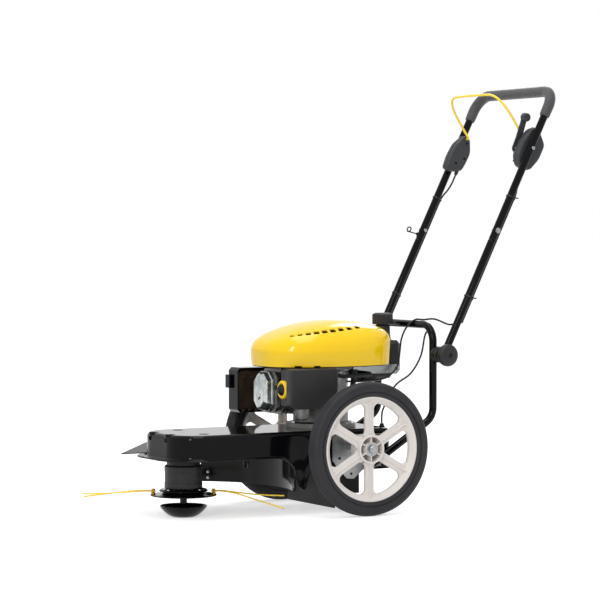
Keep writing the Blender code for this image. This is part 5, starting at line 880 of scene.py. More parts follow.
def deck_shell():
    """Point = centre + normal (radius + out), flange height + up, for each (out, up) of the
    section; then a quarter circle of radius SHOULDER turns the wall into the top."""
    centre, normal, radius = deck_plan()
    foot = (centre + normal * radius[:, None])[:, 1]
    low, share = flange_height(foot), flange_left(foot)
    section = [(FLANGE_W - 0.0010, -0.0022), (FLANGE_W, -0.0012), (FLANGE_W - 0.0003, 0.0006),
               (FLANGE_W - 0.0016, 0.0016), (FLANGE_W - 0.0040, 0.0014),
               (FLANGE_W - 0.0070, 0.0004), (0.0080, 0.0), (0.0045, 0.0006), (0.0020, 0.0022),
               (0.0006, 0.0045), (0.0, 0.0080)]
    rows = []
    for out, up in section:
        rise = np.where(share > 0, up, max(up, 0.0) * 0.5)
        beyond = out * share
        rows.append(np.column_stack([centre + normal * (radius + beyond)[:, None], low + rise]))
    count = len(radius)
    turns = np.linspace(0, np.pi / 2, 9)
    course = [(SHOULDER * (1 - np.cos(t)), TOP - SHOULDER * (1 - np.sin(t))) for t in turns]
    for inward, height in course + [(SHOULDER + 0.0010, TOP), (SHOULDER + 0.0025, TOP)]:
        rows.append(np.column_stack([centre + normal * (radius - inward)[:, None],
                                     np.full(count, height)]))
    cap = range((len(rows) - 1) * count, len(rows) * count)
    shell = piece("deck_pressing", rows, quads(len(rows), count, False, True), BLACK, "chassis",
                  34, [cap])
    thick = shell.modifiers.new("sheet", "SOLIDIFY")
    thick.thickness, thick.offset = SHEET, -1
    return shell


deck = deck_shell()
print("deck pressing:", len(deck.data.polygons), "faces")

# %% [markdown]
# Holes are cut with a Boolean against all the cutters in one mesh, and the result is taken
# over as the piece's own mesh, so that no cutter stays in the scene.

# %% Carving
def merged(meshes):
    """Several (points, quads, caps) as one mesh, welded and facing outwards."""
    form = bmesh.new()
    for points, faces, caps in meshes:
        made = [form.verts.new(p) for p in (np.asarray(points).reshape(-1, 3) + FROM_AXLE)]
        for face in [*faces.tolist(), *[list(c) for c in caps]]:
            form.faces.new([made[k] for k in face])
    bmesh.ops.recalc_face_normals(form, faces=form.faces)
    mesh = bpy.data.meshes.new("cutters")
    form.to_mesh(mesh)
    form.free()
    return mesh


def prism(outline, low, high):
    """An upright prism on an outline in plan, as (points, quads, caps)."""
    outline = np.asarray(outline, float)
    count = len(outline)
    points = [np.column_stack([outline, np.full(count, z)]) for z in (low, high)]
    return points, quads(2, count, False, True), [range(count), range(count, 2 * count)]


def carved(obj, cutters):
    """Applies a piece's modifiers and takes the cutters out of it."""
    tool = bpy.data.objects.new("cutters", merged(cutters))
    bpy.context.scene.collection.objects.link(tool)
    hole = obj.modifiers.new("holes", "BOOLEAN")
    hole.operation, hole.solver, hole.object = "DIFFERENCE", "EXACT", tool
    whole = obj.evaluated_get(bpy.context.evaluated_depsgraph_get())
    mesh = bpy.data.meshes.new_from_object(whole)
    obj.modifiers.clear()
    obj.data = mesh
    mesh.shade_smooth()
    mesh.set_sharp_from_angle(angle=np.radians(35.0))
    bpy.data.objects.remove(tool)


# %% [markdown]
# Four recesses are pressed into the deck's top, one over each bolt of the spindle housing, so
# that the bolts' heads don't stand proud. The holes are carved, the crankshaft's and the
# spindle's among them, and each recess is a turned cup whose lip covers its hole's edge.

# %% The deck with its recesses
RECESS_R, RECESS_DEPTH, ENGINE_Y = 0.0135, 0.008, -0.012
MOUNTS = [(side * x, y) for side in (1, -1) for x, y in ((0.046, -0.4925), (0.076, -0.408))]
HOLES = [(RECESS_R + 0.0012, 40, at) for at in MOUNTS]
HOLES += [(0.020, 40, (0, ENGINE_Y)), (0.003, 16, (0, HEAD_Y))]

carved(deck, [prism(disc_outline(*hole), TOP - 0.02, TOP + 0.02) for hole in HOLES])
marked(deck, "black_paint", "deck")
low = -RECESS_DEPTH
cup = [(RECESS_R + 0.0018, -0.0003), (RECESS_R + 0.0012, 0.00005), (RECESS_R, -0.0012),
       (RECESS_R - 0.0008, low + 0.001), (RECESS_R - 0.0020, low), (0.0042, low),
       (0.0042, low - 0.0020), (RECESS_R, low - 0.0020), (RECESS_R + 0.0018, -0.0020)]
for k, (x, y) in enumerate(MOUNTS):
    marked(turned(f"deck_recess_{k}", cup, (x, y, TOP), UP, BLACK, "chassis", 48, loop=True,
                  ease=0.0005), "black_paint")
print("deck:", len(deck.data.polygons), "faces, recesses:", len(MOUNTS))

# %% [markdown]
# The clutch cable goes down through a rubber gland in the deck's top, and a plated stud below
# the top holds the idler arm.

# %% Gland and stud
GLAND_AT = (0.100, 0.122, TOP)
gland = turned("cable_gland", [(0, 0.0100), (0.0050, 0.0100), (0.0065, 0.0040), (0.0080, 0.0035),
                               (0.0080, -0.001), (0, -0.001)], GLAND_AT, UP, RUBBER, "chassis", 32)
stud = turned("arm_stud", [(0, -0.0015), (0.0040, -0.0015), (0.0040, -0.0125), (0.0065, -0.0128),
                           (0.0065, -0.0150), (0, -0.0155)], (0.085, -0.2137, TOP), UP,
              ZINC, "chassis", 24)
marked(gland, "black_rubber")
marked(stud, "zinc_plate")
print("gland and stud:", gland.name, stud.name)

# %% [markdown]
# ## The shroud
#
# A thin plastic dome over the fan. In plan it is a full oval, a superellipse; a soft shoulder
# line climbs from nose to tail, and above it the dome rises steeply and then flattens.

# %% The shroud's formulas
SHROUD_X, SHROUD_Y, SHROUD_Z, CREASE_Z, SHROUD_RISE = 0.138, 0.192, 0.3919, 0.4379, 0.074
SHROUD_WALL, SHROUD_SIDES = 0.003, 288


def oval(scale):
    """|x/a|^2.6 + |y/b|^2.6 = 1, by raising cos and sin to the power 2/2.6."""
    a = np.arange(SHROUD_SIDES) * 2 * np.pi / SHROUD_SIDES
    x = np.sign(np.cos(a)) * np.abs(np.cos(a)) ** (2 / 2.6)
    y = np.sign(np.sin(a)) * np.abs(np.sin(a)) ** (2 / 2.6)
    return SHROUD_X * scale * x, ENGINE_Y + SHROUD_Y * scale * y


def crease(y):
    """Height = CREASE_Z, and behind the middle 26 mm (y / half length)^1.5 more."""
    return CREASE_Z + 0.026 * np.maximum(0, (y - ENGINE_Y) / SHROUD_Y) ** 1.5


def dome(inward, y):
    """Height = crease + (crown - crease) (1 - (1 - inward)^2.6)^(1/2.2)."""
    along = (y - ENGINE_Y) / SHROUD_Y
    crown = CREASE_Z + SHROUD_RISE * (1 - 0.36 * np.maximum(0, 0.1 - along) ** 1.5)
    return crease(y) + (crown - crease(y)) * (1 - (1 - inward) ** 2.6) ** (1 / 2.2)


def shroud_rows():
    """Rings from the open foot up the skirt, round the crease and over the dome."""
    rows = []
    for t in (0, 0.03, 0.2, 0.4, 0.6, 0.8, 0.93, 1.0):
        x, y = oval(0.985 + 0.015 * t)
        rows.append(np.stack([x, y, SHROUD_Z + (crease(y) - 0.012 - SHROUD_Z) * t], 1))
    for scale, lift in ((1.0, -0.008), (0.9985, -0.004), (0.9955, -0.0008), (0.9915, 0.0015)):
        x, y = oval(scale)
        rows.append(np.stack([x, y, crease(y) + lift], 1))
    for inward in 0.012 + 0.988 * np.linspace(0, 1, 34) ** 1.8:
        x, y = oval(1 - inward)
        settle = 0.010 * np.exp(-inward / 0.03)
        rows.append(np.stack([x, y, dome(inward, y) - settle], 1))
    return rows


print("shroud:", SHROUD_X * 2, "by", SHROUD_Y * 2, "m, crown at", CREASE_Z + SHROUD_RISE)

# %% [markdown]
# Nine slots on each shoulder let the fan draw its air. They could be a texture, but real holes
# show the dark inside. Each is a rounded box cut straight down through the dome, turned along
# the row, and a little smaller towards the nose. Two shallow notches are cut in each lower edge.

# %% The shroud with its slots
SLOT_AT = np.array([(0.0985, 0.0444), (0.1044, 0.0156), (0.1069, -0.0113), (0.1080, -0.0371),
                    (0.1068, -0.0614), (0.1034, -0.0846), (0.0975, -0.1062), (0.0884, -0.1259),
                    (0.0764, -0.1439)])      # on the shoulder, from the back to the nose
SLOT_HALF = np.array((0.0088, 0.0070))
BOX = np.array([(-1, -1), (1, -1), (1, 1), (-1, 1)])

rows = shroud_rows()
shroud = piece("shroud_moulding", rows, quads(len(rows), SHROUD_SIDES, False, True), YELLOW,
               "chassis", 40)
wall = shroud.modifiers.new("wall", "SOLIDIFY")
wall.thickness, wall.offset = SHROUD_WALL, -1
cuts = []
for way in (1, -1):
    course = unit(np.gradient(SLOT_AT, axis=0)) * (way, 1)
    for k, (at, ahead) in enumerate(zip(SLOT_AT * (way, 1), course)):
        half = SLOT_HALF * (1 - 0.35 * (k / 8) ** 3)
        beside = np.array((-ahead[1], ahead[0]))
        box = np.array([at + ahead * half[0] * a + beside * half[1] * b for a, b in BOX])
        cuts.append(prism(round_outline(box, 0.0022), CREASE_Z + 0.012, CREASE_Z + 0.12))
    for x, y in ((0.112, -0.1440), (0.1290, -0.0960)):
        notch = BOX * (0.012, 0.009) + (way * x, y)
        cuts.append(prism(notch, SHROUD_Z - 0.01, SHROUD_Z + 0.0035))
carved(shroud, cuts)
lip = shroud.modifiers.new("soft_slots", "BEVEL")
lip.width, lip.segments, lip.limit_method, lip.angle_limit = 0.0005, 2, "ANGLE", np.radians(50)
post = turned("shroud_post", [(0, 0.505), (0.008, 0.505), (0.008, 0.4399), (0, 0.4399)],
              (0, ENGINE_Y, 0), UP, YELLOW, "chassis", 32)
marked(shroud, "shroud_yellow", "engine_shroud")
marked(post, "shroud_yellow")
print("shroud:", len(shroud.data.polygons), "faces,", len(SLOT_AT) * 2, "slots")

# %% [markdown]
# ## Round the engine
#
# The priming bulb sits in a yellow bezel on the air cleaner. The fuel cap is ribbed for
# fingers: its radius goes in and out 24 times a turn, but only on its side.

# %% Primer and fuel cap
PRIMER = (0.1015, -0.180, 0.333)
bezel = turned("primer_bezel", [(0.0175, 0.0115), (0.0215, 0.0115), (0.0245, 0.0090),
                                (0.0245, 0.0003), (0.0155, 0.0003), (0.0155, 0.0095)],
               PRIMER, (0, -1, 0), YELLOW, "chassis", 64, loop=True)
t = np.linspace(0, np.pi / 2, 14)
bulb_curve = np.stack([0.0150 * np.sin(t), 0.0085 + 0.0130 * np.cos(t)], 1)
bulb = turned("primer_dome", np.vstack([bulb_curve, [(0.0150, 0.0045), (0, 0.0045)]]), PRIMER,
              (0, -1, 0), RUBBER, "primer", 48, ease=0.0)
marked(bezel, "shroud_yellow", "primer_ring")
marked(bulb, "black_rubber", "primer_bulb")
CAP_Z, CAP_R, FLUTES, FLUTE_DEPTH = 0.4945, 0.0287, 24, 0.0013


def fluted(radius, height, angle):
    """Scallops |cos|^3 where the side is full; none on the crown."""
    full = np.clip((radius - 0.0255) / 0.0025, 0, 1)
    return radius - FLUTE_DEPTH * full * np.abs(np.cos(FLUTES / 2 * angle)) ** 3, height


cap = turned("fuel_cap_ribbed",
             [(0, 0.0325), (0.012, 0.0322), (0.0205, 0.0318), (0.0230, 0.0305), (0.0238, 0.0295),
              (0.0268, 0.0293), (CAP_R, 0.0275), (CAP_R, 0.0150), (CAP_R, 0.0020),
              (0.0275, 0.0005), (0.0187, 0.0005), (0.0187, 0.0200), (0, 0.0200)],
             (-0.040, 0.2095, CAP_Z), UP, DARK, "tank_cap", 288, ripple=fluted)
marked(cap, "dark_plastic", "fuel_cap")
print("primer and cap:", bezel.name, bulb.name, cap.name)

# %% [markdown]
# Castings, boxes and bent plates are right as solids. Copies of them get soft edges, and the
# bolts on two of them get a finish of their own by where they lie. Most copies belong to the
# chassis; four of them move.

# %% Soft-edged copies
def low_bolts(x, y, z):
    """The flange bolts' heads, just above the crankcase flange."""
    reach = np.hypot(x, y + 0.059)
    return (z > 0.2352) & (z < 0.245) & (reach > 0.076) & (reach < 0.0945)


def top_bolts(x, y, z):
    """The spindle housing's bolts, which stand up into the deck's recesses."""
    return z > 0.2148


COPIES = {      # finish, and width of the soft edge
    "engine_block": (ALLOY, 0.0007), "valve_cover": (COVER_PAINTED_REFLECTIONS, 0.0014),
    "blower_base": (BLACK, 0.0004), "air_cleaner_base": (DARK, 0.0014),
    "air_cleaner_cover": (DARK, 0.0012), "carburettor": (ALLOY, 0.0006),
    "muffler": (HOT, 0.0010), "muffler_guard": (BLACK, 0.0009),
    "fuel_tank": (DARK, 0.0016), "tank_bracket": (ZINC, 0.0004),
    "oil_filler": (DARK, 0.0006), "breather_hose": (RUBBER, 0.0004),
    "spark_plug": (RUBBER, 0.0003), "ignition_coil": (DARK, 0.0005),
    "governor_arm": (ZINC, 0.0003), "starter_grip": (DARK, 0.0012),
    "side_plate": (BLACK, 0.0006), "string_guard": (BLACK, 0.0006),
    "rear_flap": (RUBBER, 0.0008), "axle_plate_left": (ZINC, 0.0004),
    "axle_plate_right": (ZINC, 0.0004), "spindle_housing": (HOUSING, 0.0006),
    "drive_belt": (RUBBER, 0.0004), "idler_arm": (ZINC, 0.0003),
    "throttle_lever": (GREY, 0.0006)}
MOVING = {"governor_arm": "governor", "starter_grip": "pull_grip", "idler_arm": "tension_arm",
          "throttle_lever": "speed_lever"}
PATCHES = {"engine_block": [(low_bolts, ZINC)], "spindle_housing": [(top_bolts, ZINC)]}
for node, (finish, bevel) in COPIES.items():
    dressed(node, finish, MOVING.get(node, "chassis"), bevel, PATCHES.get(node, ()))
print("soft-edged copies:", len(COPIES))

# %% [markdown]
# The starter's rope is wound up inside the shroud and shows only while its grip is pulled. At
# rest it is a short slanted stub from the shroud's wall into the grip, with many rings.

# %% Starter rope
ROPE_R, ROPE_RUN, WALL_END, GRIP_END = 0.0022, 0.0190, 0.0147, 0.0020
PULL = unit(np.array((0, 0.6198, 0.7848)))
grip_middle = np.mean(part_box("starter_grip"), axis=0)
slant = LEFT - PULL
stub = grip_middle - FROM_AXLE + slant * np.linspace(ROPE_RUN, 0, 64)[:, None]
rope = tube("starter_rope", stub, ROPE_R, CABLE, None, 14)
tuple(grip_middle + slant * WALL_END)
tuple(grip_middle + slant * GRIP_END)
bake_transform(rope)
marked(rope, "black_rubber")
print(rope.name, "from", (grip_middle + slant * WALL_END).round(3))

# %% [markdown]
# ## Under the deck
#
# The bearing tower, the line head and the dish are all turned. The disc carries two brass
# posts, waisted so that the line can't ride off them, and the plate has four bright screws.

# %% Tower and head
HEAD = (0, HEAD_Y, 0)


def head_point(reach, degrees):
    """A place on the head in plan; the angle is from the left, towards the back."""
    return (reach * np.cos(np.radians(degrees)), HEAD_Y + reach * np.sin(np.radians(degrees)))


tower = turned("bearing_tower",
               [(0.0442, 0.1562), (0.0442, 0.1372), (0.0472, 0.1372), (0.0502, 0.1342),
                (0.0502, 0.1210), (0.0494, 0.1202), (0.0494, 0.0920), (0.0502, 0.0912),
                (0.0502, 0.0771), (0.0482, 0.0750), (0.0110, 0.0750), (0.0110, 0.1562)],
               HEAD, UP, HOUSING, "chassis", 96, loop=True)
marked(tower, "dark_plastic")
plate = turned("line_plate",
               [(0.0083, 0.0736), (0.0600, 0.0736), (0.0618, 0.0730), (0.0648, 0.0700),
                (0.0650, 0.0686), (0.0083, 0.0686)],
               HEAD, UP, BLACK, "line_head", 96, loop=True)
disc = turned("line_disc",
              [(0.0083, 0.0683), (0.0530, 0.0683), (0.0568, 0.0622), (0.0600, 0.0606),
               (0.0820, 0.0600), (0.0872, 0.0592), (0.0880, 0.0580), (0.0880, 0.0568),
               (0.0860, 0.0560), (0.0083, 0.0560)],
              HEAD, UP, BLACK, "line_head", 128, loop=True)
marked(plate, "black_paint", "head_plate")
marked(disc, "black_paint", "head_disc")
print("head:", tower.name, plate.name, disc.name)

# %% [markdown]
# The screws and the posts differ in profile, finish and place alone, so one loop turns all of
# them, each upright at its own angle round the head.

# %% Screws and posts
SCREW = [(0, 0.0762), (0.0026, 0.0760), (0.0036, 0.0752), (0.0038, 0.0736), (0.0038, 0.0720),
         (0, 0.0720)]
POST = [(0, 0.0740), (0.0043, 0.0740), (0.0052, 0.0732), (0.0051, 0.0712), (0.0030, 0.0698),
        (0.0030, 0.0652), (0.0058, 0.0630), (0.0060, 0.0600), (0, 0.0600)]
for name, angles, reach, profile, finish, sides, ease in (
        ("plate_screw", (20, 110, 200, 290), 0.0575, SCREW, STEEL, 24, 0.0003),
        ("line_post", (60.5, 240.5), POST_REACH, POST, BRASS, 36, 0.0004)):
    for k, degrees in enumerate(angles):
        marked(turned(f"{name}_{k}", profile, (*head_point(reach, degrees), 0), UP, finish,
                      "line_head", sides, ease=ease), "bright_steel")
    print(name, "at", angles, "degrees")

# %% [markdown]
# The dish below turns freely on the spindle and slides over the ground: a shallow bowl of one
# wall, flat at its foot, with a lip at its rim and a boss for its bearing. Its corners are
# eased by millimetres, because a pressed bowl has no edge inside it.

# %% Dish
DISH_TOP, DISH_R, DISH_H, DISH_FOOT, DISH_WALL = 0.018, 0.0633, 0.030, 0.0305, 0.003
dish = turned("sliding_dish",
              [(0, 0.0065), (0.0055, 0.0065), (0.0055, DISH_TOP), (0.0125, DISH_TOP),
               (0.0150, DISH_WALL + 0.001), (DISH_FOOT - 0.002, DISH_WALL),
               (DISH_R - 0.024, DISH_H * 0.24 + DISH_WALL),
               (DISH_R - 0.013, DISH_H * 0.56 + DISH_WALL * 0.6), (DISH_R - 0.0045, DISH_H - 0.003),
               (DISH_R - 0.003, DISH_H), (DISH_R, DISH_H), (DISH_R - 0.0015, DISH_H - 0.004),
               (DISH_R - 0.010, DISH_H * 0.52), (DISH_R - 0.021, DISH_H * 0.20),
               (DISH_FOOT, 0), (0, 0)],
              HEAD, UP, BLACK, "dish", 96, ease=0.004)
marked(dish, "dark_plastic", "ground_dish")
print(dish.name, "radius", DISH_R, "height", DISH_H)

# %% [markdown]
# The guard's right wing ends in a small bracket, held by two plated bolts: a slab that stands
# upright and square to the wing's direction, with a hexagon for each bolt's head.

# %% Guard bracket
BRACKET_TURN, BRACKET_REACH = np.radians(-50.0), 0.2985
out = np.array((np.sin(BRACKET_TURN), np.cos(BRACKET_TURN), 0))
beside = np.array((out[1], -out[0], 0))
spot = np.array(HEAD) + out * BRACKET_REACH
bracket = slab("guard_bracket", round_outline([(-0.012, 0.066), (0.012, 0.066), (0.012, 0.098),
                                               (-0.012, 0.098)], 0.003),
               0.0018, spot, beside, UP, BLACK, "chassis", 0.0005)
marked(bracket, "black_paint")
for k, height in enumerate((0.074, 0.090)):
    bolt = turned(f"guard_bolt_{k}",
                  [(0, 0.0042), (0.0036, 0.0042), (0.0046, 0.0034), (0.0046, 0.0), (0, 0.0)],
                  spot + UP * height, -out, ZINC, "chassis", 6, ease=0.0004)
    marked(bolt, "zinc_plate")
print(bracket.name, "with two bolts")

# %% [markdown]
# ## Hoop and handle
#
# Bent steel tube, 21 mm, powder coated. Each bend is a true arc. The paint's two long bright
# streaks come from the light alone, so the tubes need nothing but a smooth round section.

# %% The hoop
TUBE_R = 0.0105
HOOP_X, HOOP_Y, HOOP_TOP, HOOP_KNEE, HOOP_BEND = 0.1441, 0.258, 0.497, 0.247, 0.045
PIVOT = np.array((0, 0.2655, 0.418))
ALONG, AHEAD = np.array((0, 0.44932, 0.89337)), np.array((0, -0.89337, 0.44932))


def on_handle(along, x=0.0, ahead=0.0):
    """A point up the handle from its pivot, to the left of the middle, and ahead of it."""
    return PIVOT + ALONG * along + AHEAD * ahead + LEFT * x


def both_sides(points):
    """The left half of a path, and its mirror image back down the right side."""
    points = np.asarray(points, float)
    return np.vstack([points, points[::-1] * (-1, 1, 1)])


hoop_route = rounded_path(both_sides([(HOOP_X, 0.052, 0.1185), (HOOP_X, HOOP_Y, HOOP_KNEE),
                                      (HOOP_X, HOOP_Y, HOOP_TOP)]), [HOOP_BEND] * 4)
hoop = tube("hoop_tube", evenly(hoop_route, 0.006), TUBE_R, BLACK, "chassis", 32)
marked(hoop, "black_paint", "hoop_frame")
print(hoop.name, "from", round(length_of(hoop_route), 3), "m of tube")

# %% [markdown]
# The folding joints are two toothed discs that lock when the knob pulls them together. Each
# tooth is a ridge that runs out from the middle, so the face is a wave in the angle.

# %% Ratchets
RATCHET_R, TEETH, TOOTH = 0.022, 24, 0.0022


def ratchet(name, back, tip, body):
    """Height = tip less tooth (0.5 - 0.5 cos(teeth a)) at the face, growing out to the rim."""
    depth = tip - back

    def wave(radius, height, angle):
        growth = np.clip((radius - 0.006) / 0.010, 0, 1)
        tooth = TOOTH * (0.5 - 0.5 * np.cos(TEETH * angle)) * growth
        return radius, height - np.sign(depth) * tooth * (height / depth > 0.9)

    profile = [(0.0043, 0), (RATCHET_R - 0.001, 0), (RATCHET_R, np.sign(depth) * 0.001),
               (RATCHET_R, depth), (RATCHET_R - 0.002, depth), (0.016, depth), (0.0115, depth),
               (0.0043, depth)]
    marked(turned(name, profile, (back, *PIVOT[1:]), LEFT, DARK, body, 288, loop=True, ease=0.0,
                  ripple=wave), "zinc_plate")


MEET_X, MEET_GAP = 0.1656, 0.0002
for side, way in SIDES:
    ratchet(f"hoop_ratchet_{side}", way * 0.1516, way * (MEET_X - MEET_GAP), "chassis")
    ratchet(f"handle_ratchet_{side}", way * 0.1795, way * (MEET_X + MEET_GAP), "handle")
print("ratchets:", TEETH, "teeth on each face")

# %% [markdown]
# A carriage bolt goes through each joint from inside, and a fat round knob with a socket for
# it is turned down by hand. The knob's corners are generously rounded, as moulded ones are.

# %% Knobs and pivot bolts
KNOB_R, KNOB_T, KNOB_X = 0.0305, 0.0225, 0.1978
for side, way in SIDES:
    r = KNOB_R
    knob = turned(f"clamp_knob_{side}",
                  [(0, KNOB_T - 0.006), (0.0058, KNOB_T - 0.006), (0.0062, KNOB_T - 0.0004),
                   (0.0075, KNOB_T), (r * 0.55, KNOB_T - 0.0006), (r * 0.84, KNOB_T - 0.0035),
                   (r * 0.97, KNOB_T - 0.0085), (r, KNOB_T - 0.0125), (r * 0.995, 0.0080),
                   (r * 0.985, 0.0070), (r * 0.985, 0.0040), (r * 0.93, 0.0002), (0.0045, 0.0002),
                   (0.0045, 0.0115), (0, 0.0115)],
                  (way * KNOB_X, *PIVOT[1:]), LEFT * way, DARK, f"clamp_{side}", 96, ease=0.0016)
    marked(knob, "dark_plastic", f"knob_{side}")
    bolt = turned(f"pivot_bolt_{side}", [(0, 0.0130), (0.0035, 0.0130), (0.0040, 0.0120),
                                         (0.0040, -0.0637), (0.0080, -0.0637), (0.0074, -0.0668),
                                         (0.0050, -0.0680), (0, -0.0683)],
                  (way * (KNOB_X - 0.0022), *PIVOT[1:]), LEFT * way, ZINC, "chassis", 36)
    marked(bolt, "zinc_plate")
    print(knob.name, bolt.name)

# %% [markdown]
# The handle is two straight lower tubes and a U above them. The joint between them is a
# sleeve with a bolt through it; the line between upper and lower tube is a fine gap.

# %% Handle tubes and grip
HANDLE_X, JOINT, JOINT_HALF, HANDLE_LEN, HANDLE_BEND = 0.187, 0.377, 0.030, 0.810, 0.050
for side, way in SIDES:
    for name, low, high, count, radius, nodes in (
            ("lower_leg_", -0.017, JOINT - JOINT_HALF, 60, TUBE_R, ["lower_tube_" + side]),
            ("swage_", 0.335, 0.400, 8, 0.0078, [])):
        run = on_handle(np.linspace(low, high, count)[:, None], way * HANDLE_X)
        marked(tube(name + side, run, radius, BLACK, "handle", 32), "black_paint", *nodes)
    joint = on_handle(JOINT, way * HANDLE_X)
    bolt = turned(f"joint_bolt_{side}", [(0, 0.0142), (0.0046, 0.0142), (0.0058, 0.0126),
                                         (0.0058, 0.0100), (0.0030, 0.0100), (0.0030, -0.0100),
                                         (0.0055, -0.0100), (0.0055, -0.0150), (0, -0.0150)],
                  joint, LEFT * way, ZINC, "handle", 6, ease=0.0005)
    washer = turned(f"joint_washer_{side}", [(0.0030, 0.0105), (0.0078, 0.0105), (0.0078, 0.0094),
                                             (0.0030, 0.0094)], joint, LEFT * way, ZINC,
                    "handle", 36, loop=True)
    marked(bolt, "zinc_plate")
    marked(washer, "zinc_plate")


def handle_route(start):
    """Up the left tube from a height, across the crossbar and down to the same height."""
    corners = both_sides([on_handle(start, HANDLE_X), on_handle(HANDLE_LEN, HANDLE_X)])
    return evenly(rounded_path(corners, [HANDLE_BEND] * 2, 24), 0.005)


bow = tube("handle_bow", handle_route(JOINT - JOINT_HALF + 0.0006), TUBE_R, BLACK, "handle", 32)
marked(bow, "black_paint", "upper_handle")
print("handle:", len(bow.data.vertices), "points in the bow")

# %% [markdown]
# The grip is a soft foam tube: a little fuller in the middle than at its ends, where it is
# pulled tight.

# %% Foam
def full(along, whole):
    """Share of the radius = 0.9 + 0.1 (1 - e^(-end / 12 mm)), with a slow wave of 0.6 %."""
    end = np.minimum(along, whole - along)
    return 0.90 + 0.10 * (1 - np.exp(-end / 0.012)) + 0.006 * np.sin(along / whole * 9)


foam = tube("foam_sleeve", handle_route(HANDLE_LEN - 0.080), 0.0150, FOAM, "handle", 40, full)
marked(foam, "foam", "foam_grip")
print(foam.name, "is padding")

# %% [markdown]
# ## Controls
#
# Each housing is two shells that meet in a raised seam. A slab with a wide rolled edge makes
# the body, and a thinner one, a little larger, the seam.

# %% Housings
CONTROL_MID, CONTROL_IN, CONTROL_W = 0.1612, 0.1462, 0.030
SEAM_FROM = np.array((0.631, 0.004))      # the seam grows about this point, level with the bolt
OUTLINES = {
    "bail_housing": (-1, [(0.677, 0.006), (0.672, 0.016), (0.640, 0.032), (0.600, 0.036),
                          (0.562, 0.032), (0.560, 0.014), (0.576, -0.018), (0.600, -0.022),
                          (0.636, -0.023), (0.668, -0.006)]),
    "lever_housing": (1, [(0.696, 0.004), (0.680, 0.016), (0.640, 0.025), (0.600, 0.024),
                          (0.576, 0.006), (0.574, -0.018), (0.582, -0.034), (0.620, -0.047),
                          (0.664, -0.047), (0.692, -0.014)])}


def housing(node, way, outline):
    """Shell, seam and cable nose of a moulding, its bolt, and three screws in its inner face."""
    middle = PIVOT + LEFT * way * CONTROL_MID
    smooth = round_outline(outline, 0.011, 8)
    shell = slab(node + "_shell", smooth, CONTROL_W, middle, ALONG, AHEAD, GREY, "handle",
                 0.0055, 8)
    larger = (smooth - SEAM_FROM) * (1.022, 1.035) + SEAM_FROM
    seam = slab(node + "_seam", larger, 0.0022, middle, ALONG, AHEAD, GREY, "handle", 0.0008)
    nose = turned(node + "_nose", [(0.0026, 0.0), (0.0046, 0.0), (0.0052, 0.001), (0.0052, 0.010),
                                   (0.0046, 0.011), (0.0052, 0.012), (0.0052, 0.040),
                                   (0.0026, 0.040)],
                  on_handle(0.562, way * CONTROL_MID, -0.012), ALONG, GREY, "handle", 36, loop=True)
    bolt = turned(node + "_bolt", [(0, 0.0042), (0.0048, 0.0042), (0.0055, 0.0034), (0.0055, 0),
                                   (0.0026, 0), (0.0026, -0.046), (0.0050, -0.0460),
                                   (0.0050, -0.0500), (0, -0.0500)],
                  on_handle(SEAM_FROM[0], way * 0.1978), LEFT * way, ZINC, "handle", 6, ease=0.0004)
    marked(shell, "grey_plastic", node)
    marked(seam, "grey_plastic")
    marked(nose, "grey_plastic")
    marked(bolt, "zinc_plate")
    for k, (along, ahead) in enumerate(((0.588, 0.010), (0.655, 0.002), (0.612, -0.010))):
        screw = turned(f"{node}_screw_{k}", [(0, 0.0004), (0.0016, 0.0004), (0.0018, 0.0012),
                                             (0.0032, 0.0010), (0.0036, 0.0), (0.0036, -0.0004),
                                             (0, -0.0004)],
                       on_handle(along, way * CONTROL_IN, ahead), LEFT * -way, BLACK, "handle", 24,
                       ease=0.0002)
        marked(screw, "black_paint")


for node, (way, outline) in OUTLINES.items():
    housing(node, way, outline)
    print(node, "from an outline of", len(outline), "points")

# %% [markdown]
# The bail is one bent rod: a foot in the inner face of each housing, a leg that leans ahead
# and up, and a bar that the hands pull back to the grip. Half of its path flows through a few
# points and the other half mirrors it. The throttle lever's tip is a round grey boss.

# %% Bail and lever
BAIL_AT, BAIL_AHEAD, BAIL_R, BAIL_REACH, BAIL_LEAN = 0.666, 0.008, 0.00325, 0.140, 61.0
LEVER_L, LEVER_LEAN = 0.091, 8.0


def leaning(degrees):
    """The direction that leans ahead of the handle by an angle."""
    return ALONG * np.cos(np.radians(degrees)) + AHEAD * np.sin(np.radians(degrees))


side = [on_handle(BAIL_AT, x, BAIL_AHEAD) + leaning(BAIL_LEAN) * reach for x, reach in
        ((0.1537, 0), (0.1420, 0), (0.1357, 0.006), (0.1355, 0.035), (0.1350, 0.065),
         (0.1315, 0.094), (0.1200, 0.120), (0.0980, 0.136), (0.0600, BAIL_REACH))]
bail = tube("bail_rod_bent", evenly(flowing(both_sides(side), 12), 0.0025), BAIL_R, BAIL_COAT,
            "bail_rod", 20)
marked(bail, "bail_yellow", "bail")
boss = turned("lever_boss", [(0, 0.0125), (0.0080, 0.0125), (0.0085, 0.0118), (0.0092, 0.0118),
                             (0.0097, 0.0127), (0.0108, 0.0127), (0.0117, 0.0118), (0.0134, 0.0005),
                             (0.0128, -0.0014), (0, -0.0014)],
              on_handle(0.622, 0.1437, 0.018) + leaning(LEVER_LEAN) * LEVER_L, LEFT, GREY,
              "speed_lever", 64)
marked(boss, "grey_plastic")
print("controls:", bail.name, boss.name)

# %% [markdown]
# ## Cables
#
# Each control cable leaves its housing, runs down behind its tube in two ties, turns round
# the fold and goes on to the engine or into the deck. It crosses the handle's hinge as one piece.

# %% Cable routes
CABLE_R, BEHIND, SPLIT = 0.0025, -0.0133, 0.1144
BAR_Z, OVER_BAR = 0.497, 0.0136


